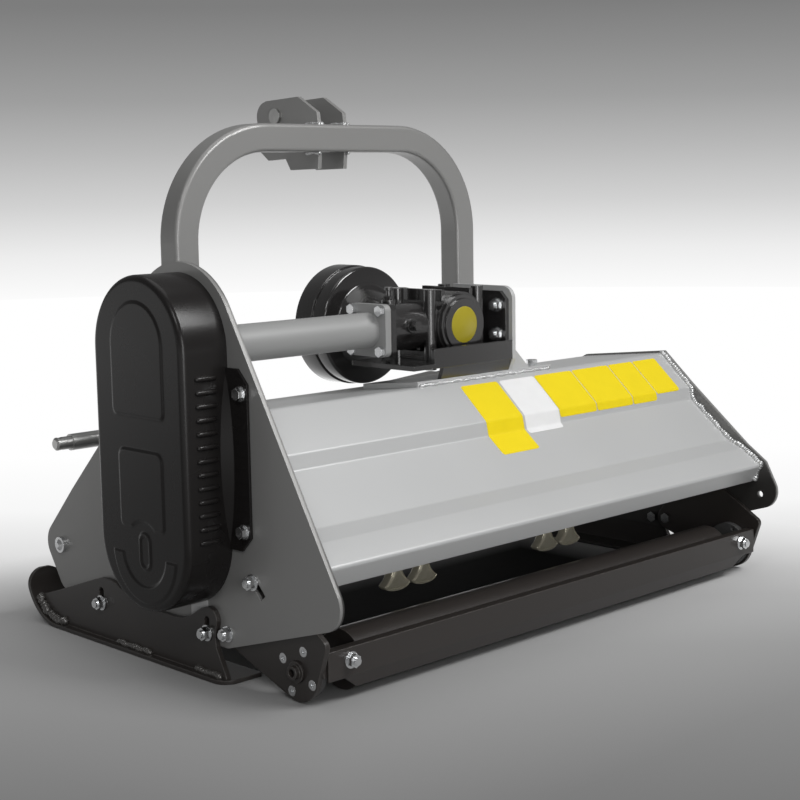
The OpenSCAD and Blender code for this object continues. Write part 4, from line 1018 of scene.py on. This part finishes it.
# backdrop: display levels by degrees above the horizon, behind the mower and on the other sides
SKY_LOW, SKY_TOP = (math.sin(math.radians(d)) for d in (-6, 30))
BEHIND_TONES = ((-4.2, 1.0), (-2.36, 0.93), (-0.6, 0.82), (1.26, 0.72), (3.06, 0.62), (4.8, 0.55),
                (6.3, 0.49), (30.0, 0.46))
SIDE_TONES = ((-4.2, 1.0), (-2.0, 0.86), (0.5, 0.66), (3.0, 0.52), (6.0, 0.45), (30.0, 0.42))

WHITE = (1, 1, 1, 1)


def placed(right, up, back, at):
    """Matrix of an object by the directions of its axes and its place."""
    matrix = np.eye(4)
    matrix[:3] = np.stack([right, up, back, at], -1)
    return Matrix(matrix.tolist())


class MOWER_OT_stage(bpy.types.Operator):
    """Sets the floor, the studio light, the background and the camera"""
    bl_idname = "mower.stage"
    bl_label = "Stage"

    def seen(self, f):
        """1 for a ray that sees the stage itself: from the camera, a gloss or through glass."""
        camera, gloss, glass = (f.node("LightPath", out=f"Is {kind} Ray")
                                for kind in ("Camera", "Glossy", "Transmission"))
        return (camera + gloss + glass).math("MINIMUM", 1.0)

    def along_view(self, f, vector):
        """How far a vector goes along the camera's line of sight, level with the ground."""
        a = math.radians(CAMERA_TURN[0])
        return f.dot(vector, (-math.sin(a), math.cos(a), 0.0))

    def outside(self, x, y, box):
        """Distance outwards from a box on the floor, in widths of its soft edge."""
        half_x, half_y, middle, soft = box
        return (x.math("ABSOLUTE") - half_x).math(
            "MAXIMUM", (y - middle).math("ABSOLUTE") - half_y) / soft

    def floor(self):
        """Round floor whose tone runs from grey before the mower to white behind it.

        It takes the mower's shadow, and a painted shadow darkens it where the hood covers it; a
        little way out it goes over to an even glow of the same tone, so that it runs into the
        backdrop."""
        f = new_finish("studio_floor")
        at = f.place()
        tone = f.tones(self.along_view(f, at) * -1.0, -FLOOR_REACH, FLOOR_REACH, FLOOR_TONES)
        seen = self.seen(f)
        x, y = f.axes(at, "XY")
        # painted shadow: the floor's colour goes to dark grey where the hood covers it
        painted_shadow = (0.5 - self.outside(x, y, SHADOW_UNDER_HOOD)).held()
        shown = f.blend(painted_shadow, f.blend(0.07, tone, WHITE), grey(0.22))
        lit = f.node("BsdfPrincipled", {}, {
            "Base Color": f.blend(seen, grey(0.36), shown),
            "Roughness": 0.75 + f.noise(30.0).swing(0.1), "Specular IOR Level": 0.1})
        glow = f.node("Emission", {}, {"Color": tone, "Strength": 1.0})
        far = self.outside(x, y, NEAR).held()
        surface = f.node("MixShader", {}, {0: far * seen, 1: lit, 2: glow})
        f.node("OutputMaterial", {}, {"Surface": surface})
        t = np.linspace(0, TURN, 96, endpoint=False)
        r = np.array(FLOOR_RINGS)[:, None]
        points = np.stack([r * np.cos(t), r * np.sin(t), 0 * r * t - FLOOR_DEEP], -1)
        quads = grid_quads(len(r), len(t), ring=True)
        mesh = bpy.data.meshes.new("studio_floor")
        mesh.from_pydata(points.reshape(-1, 3).tolist(), [], quads.tolist())
        mesh.materials.append(f.owner)
        floor = add_object("studio_floor", mesh)

    def background(self):
        """World: a soft grey light, and for what the camera and gloss see, a backdrop.

        The backdrop is white at the horizon and grey above; behind the mower it darkens slowly
        with height, and on the other sides sooner."""
        world = bpy.data.worlds.new("studio")
        bpy.context.scene.world = world
        f = Finish(world)
        look = f.node("TexCoord", out="Generated")
        height, = f.axes(look, "Z")
        tone, around = (f.tones(height, SKY_LOW, SKY_TOP, [
            (math.sin(math.radians(degrees)), level) for degrees, level in run])
            for run in (BEHIND_TONES, SIDE_TONES))
        behind = ((self.along_view(f, look) - 0.35) / 0.5).held()
        shown = f.node("Background", {}, {
            "Color": f.blend(behind, around, tone), "Strength": 1.0})
        soft = f.node("Background", {}, {"Color": WHITE, "Strength": SOFT_LIGHT})
        mixed = f.node("MixShader", {}, {0: self.seen(f), 1: soft, 2: shown})
        f.node("OutputWorld", {}, {"Surface": mixed})

    def lamp(self, name, at, aim, size, power):
        """Square soft light at a place, turned to shine on a point."""
        light = bpy.data.lights.new(name, "AREA")
        light.shape = "SQUARE"
        light.size = size
        light.energy = power
        back = unit(np.array(at, float) - np.array(aim, float))
        right = unit(np.cross([0, 0, 1.0], back))
        lamp = add_object(name, light)
        lamp.matrix_world = placed(right, np.cross(back, right), back, at)

    def camera(self):
        """Camera turned about the upright axis, tilted down and rolled about its line of sight."""
        turn, tilt, roll = (math.radians(v) for v in CAMERA_TURN)
        back = np.array([math.sin(turn) * math.cos(tilt), -math.cos(turn) * math.cos(tilt),
                         math.sin(tilt)])
        right = np.array([math.cos(turn), math.sin(turn), 0.0])
        up = np.cross(back, right)
        c, s = math.cos(roll), math.sin(roll)
        data = bpy.data.cameras.new("view")
        data.sensor_width = 36.0
        data.lens = CAMERA_FOCUS * data.sensor_width / FRAME_PIXELS
        camera = add_object("view", data)
        camera.matrix_world = placed(c * right + s * up, c * up - s * right, back, CAMERA_AT)
        bpy.context.scene.camera = camera

    def execute(self, context):
        context.scene.view_settings.view_transform = "Standard"
        self.floor()
        self.background()
        for lamp in LAMPS:
            self.lamp(*lamp)
        self.camera()
        return {"FINISHED"}


OPERATORS = (MOWER_OT_finishes, MOWER_OT_hood, MOWER_OT_cover, MOWER_OT_guard, MOWER_OT_hammers,
             MOWER_OT_panels, MOWER_OT_welds, MOWER_OT_stage)


class MOWER_PT_dressing(bpy.types.Panel):
    """Lists the mower's pieces, colours and sizes"""
    bl_idname = "MOWER_PT_dressing"
    bl_label = "Flail mower"
    bl_space_type = "VIEW_3D"
    bl_region_type = "UI"
    bl_category = "Mower"

    def draw(self, context):
        for operator in OPERATORS:
            self.layout.operator(operator.bl_idname)
        for group in (context.scene.mower_colours, context.scene.mower_sizes):
            box = self.layout.box()
            for key in group.bl_rna.properties.keys():
                if key not in {"rna_type", "name"}:
                    box.prop(group, key)


CLASSES = (MowerColours, MowerSizes, *OPERATORS, MOWER_PT_dressing)


def register():
    for cls in CLASSES:
        bpy.utils.register_class(cls)
    bpy.types.Scene.mower_colours = PointerProperty(type=MowerColours)
    bpy.types.Scene.mower_sizes = PointerProperty(type=MowerSizes)


def unregister():
    del bpy.types.Scene.mower_sizes
    del bpy.types.Scene.mower_colours
    for cls in reversed(CLASSES):
        bpy.utils.unregister_class(cls)


def main():
    register()
    for operator in OPERATORS:
        group, name = operator.bl_idname.split(".")
        getattr(getattr(bpy.ops, group), name)()


if __name__ == "__main__":
    main()
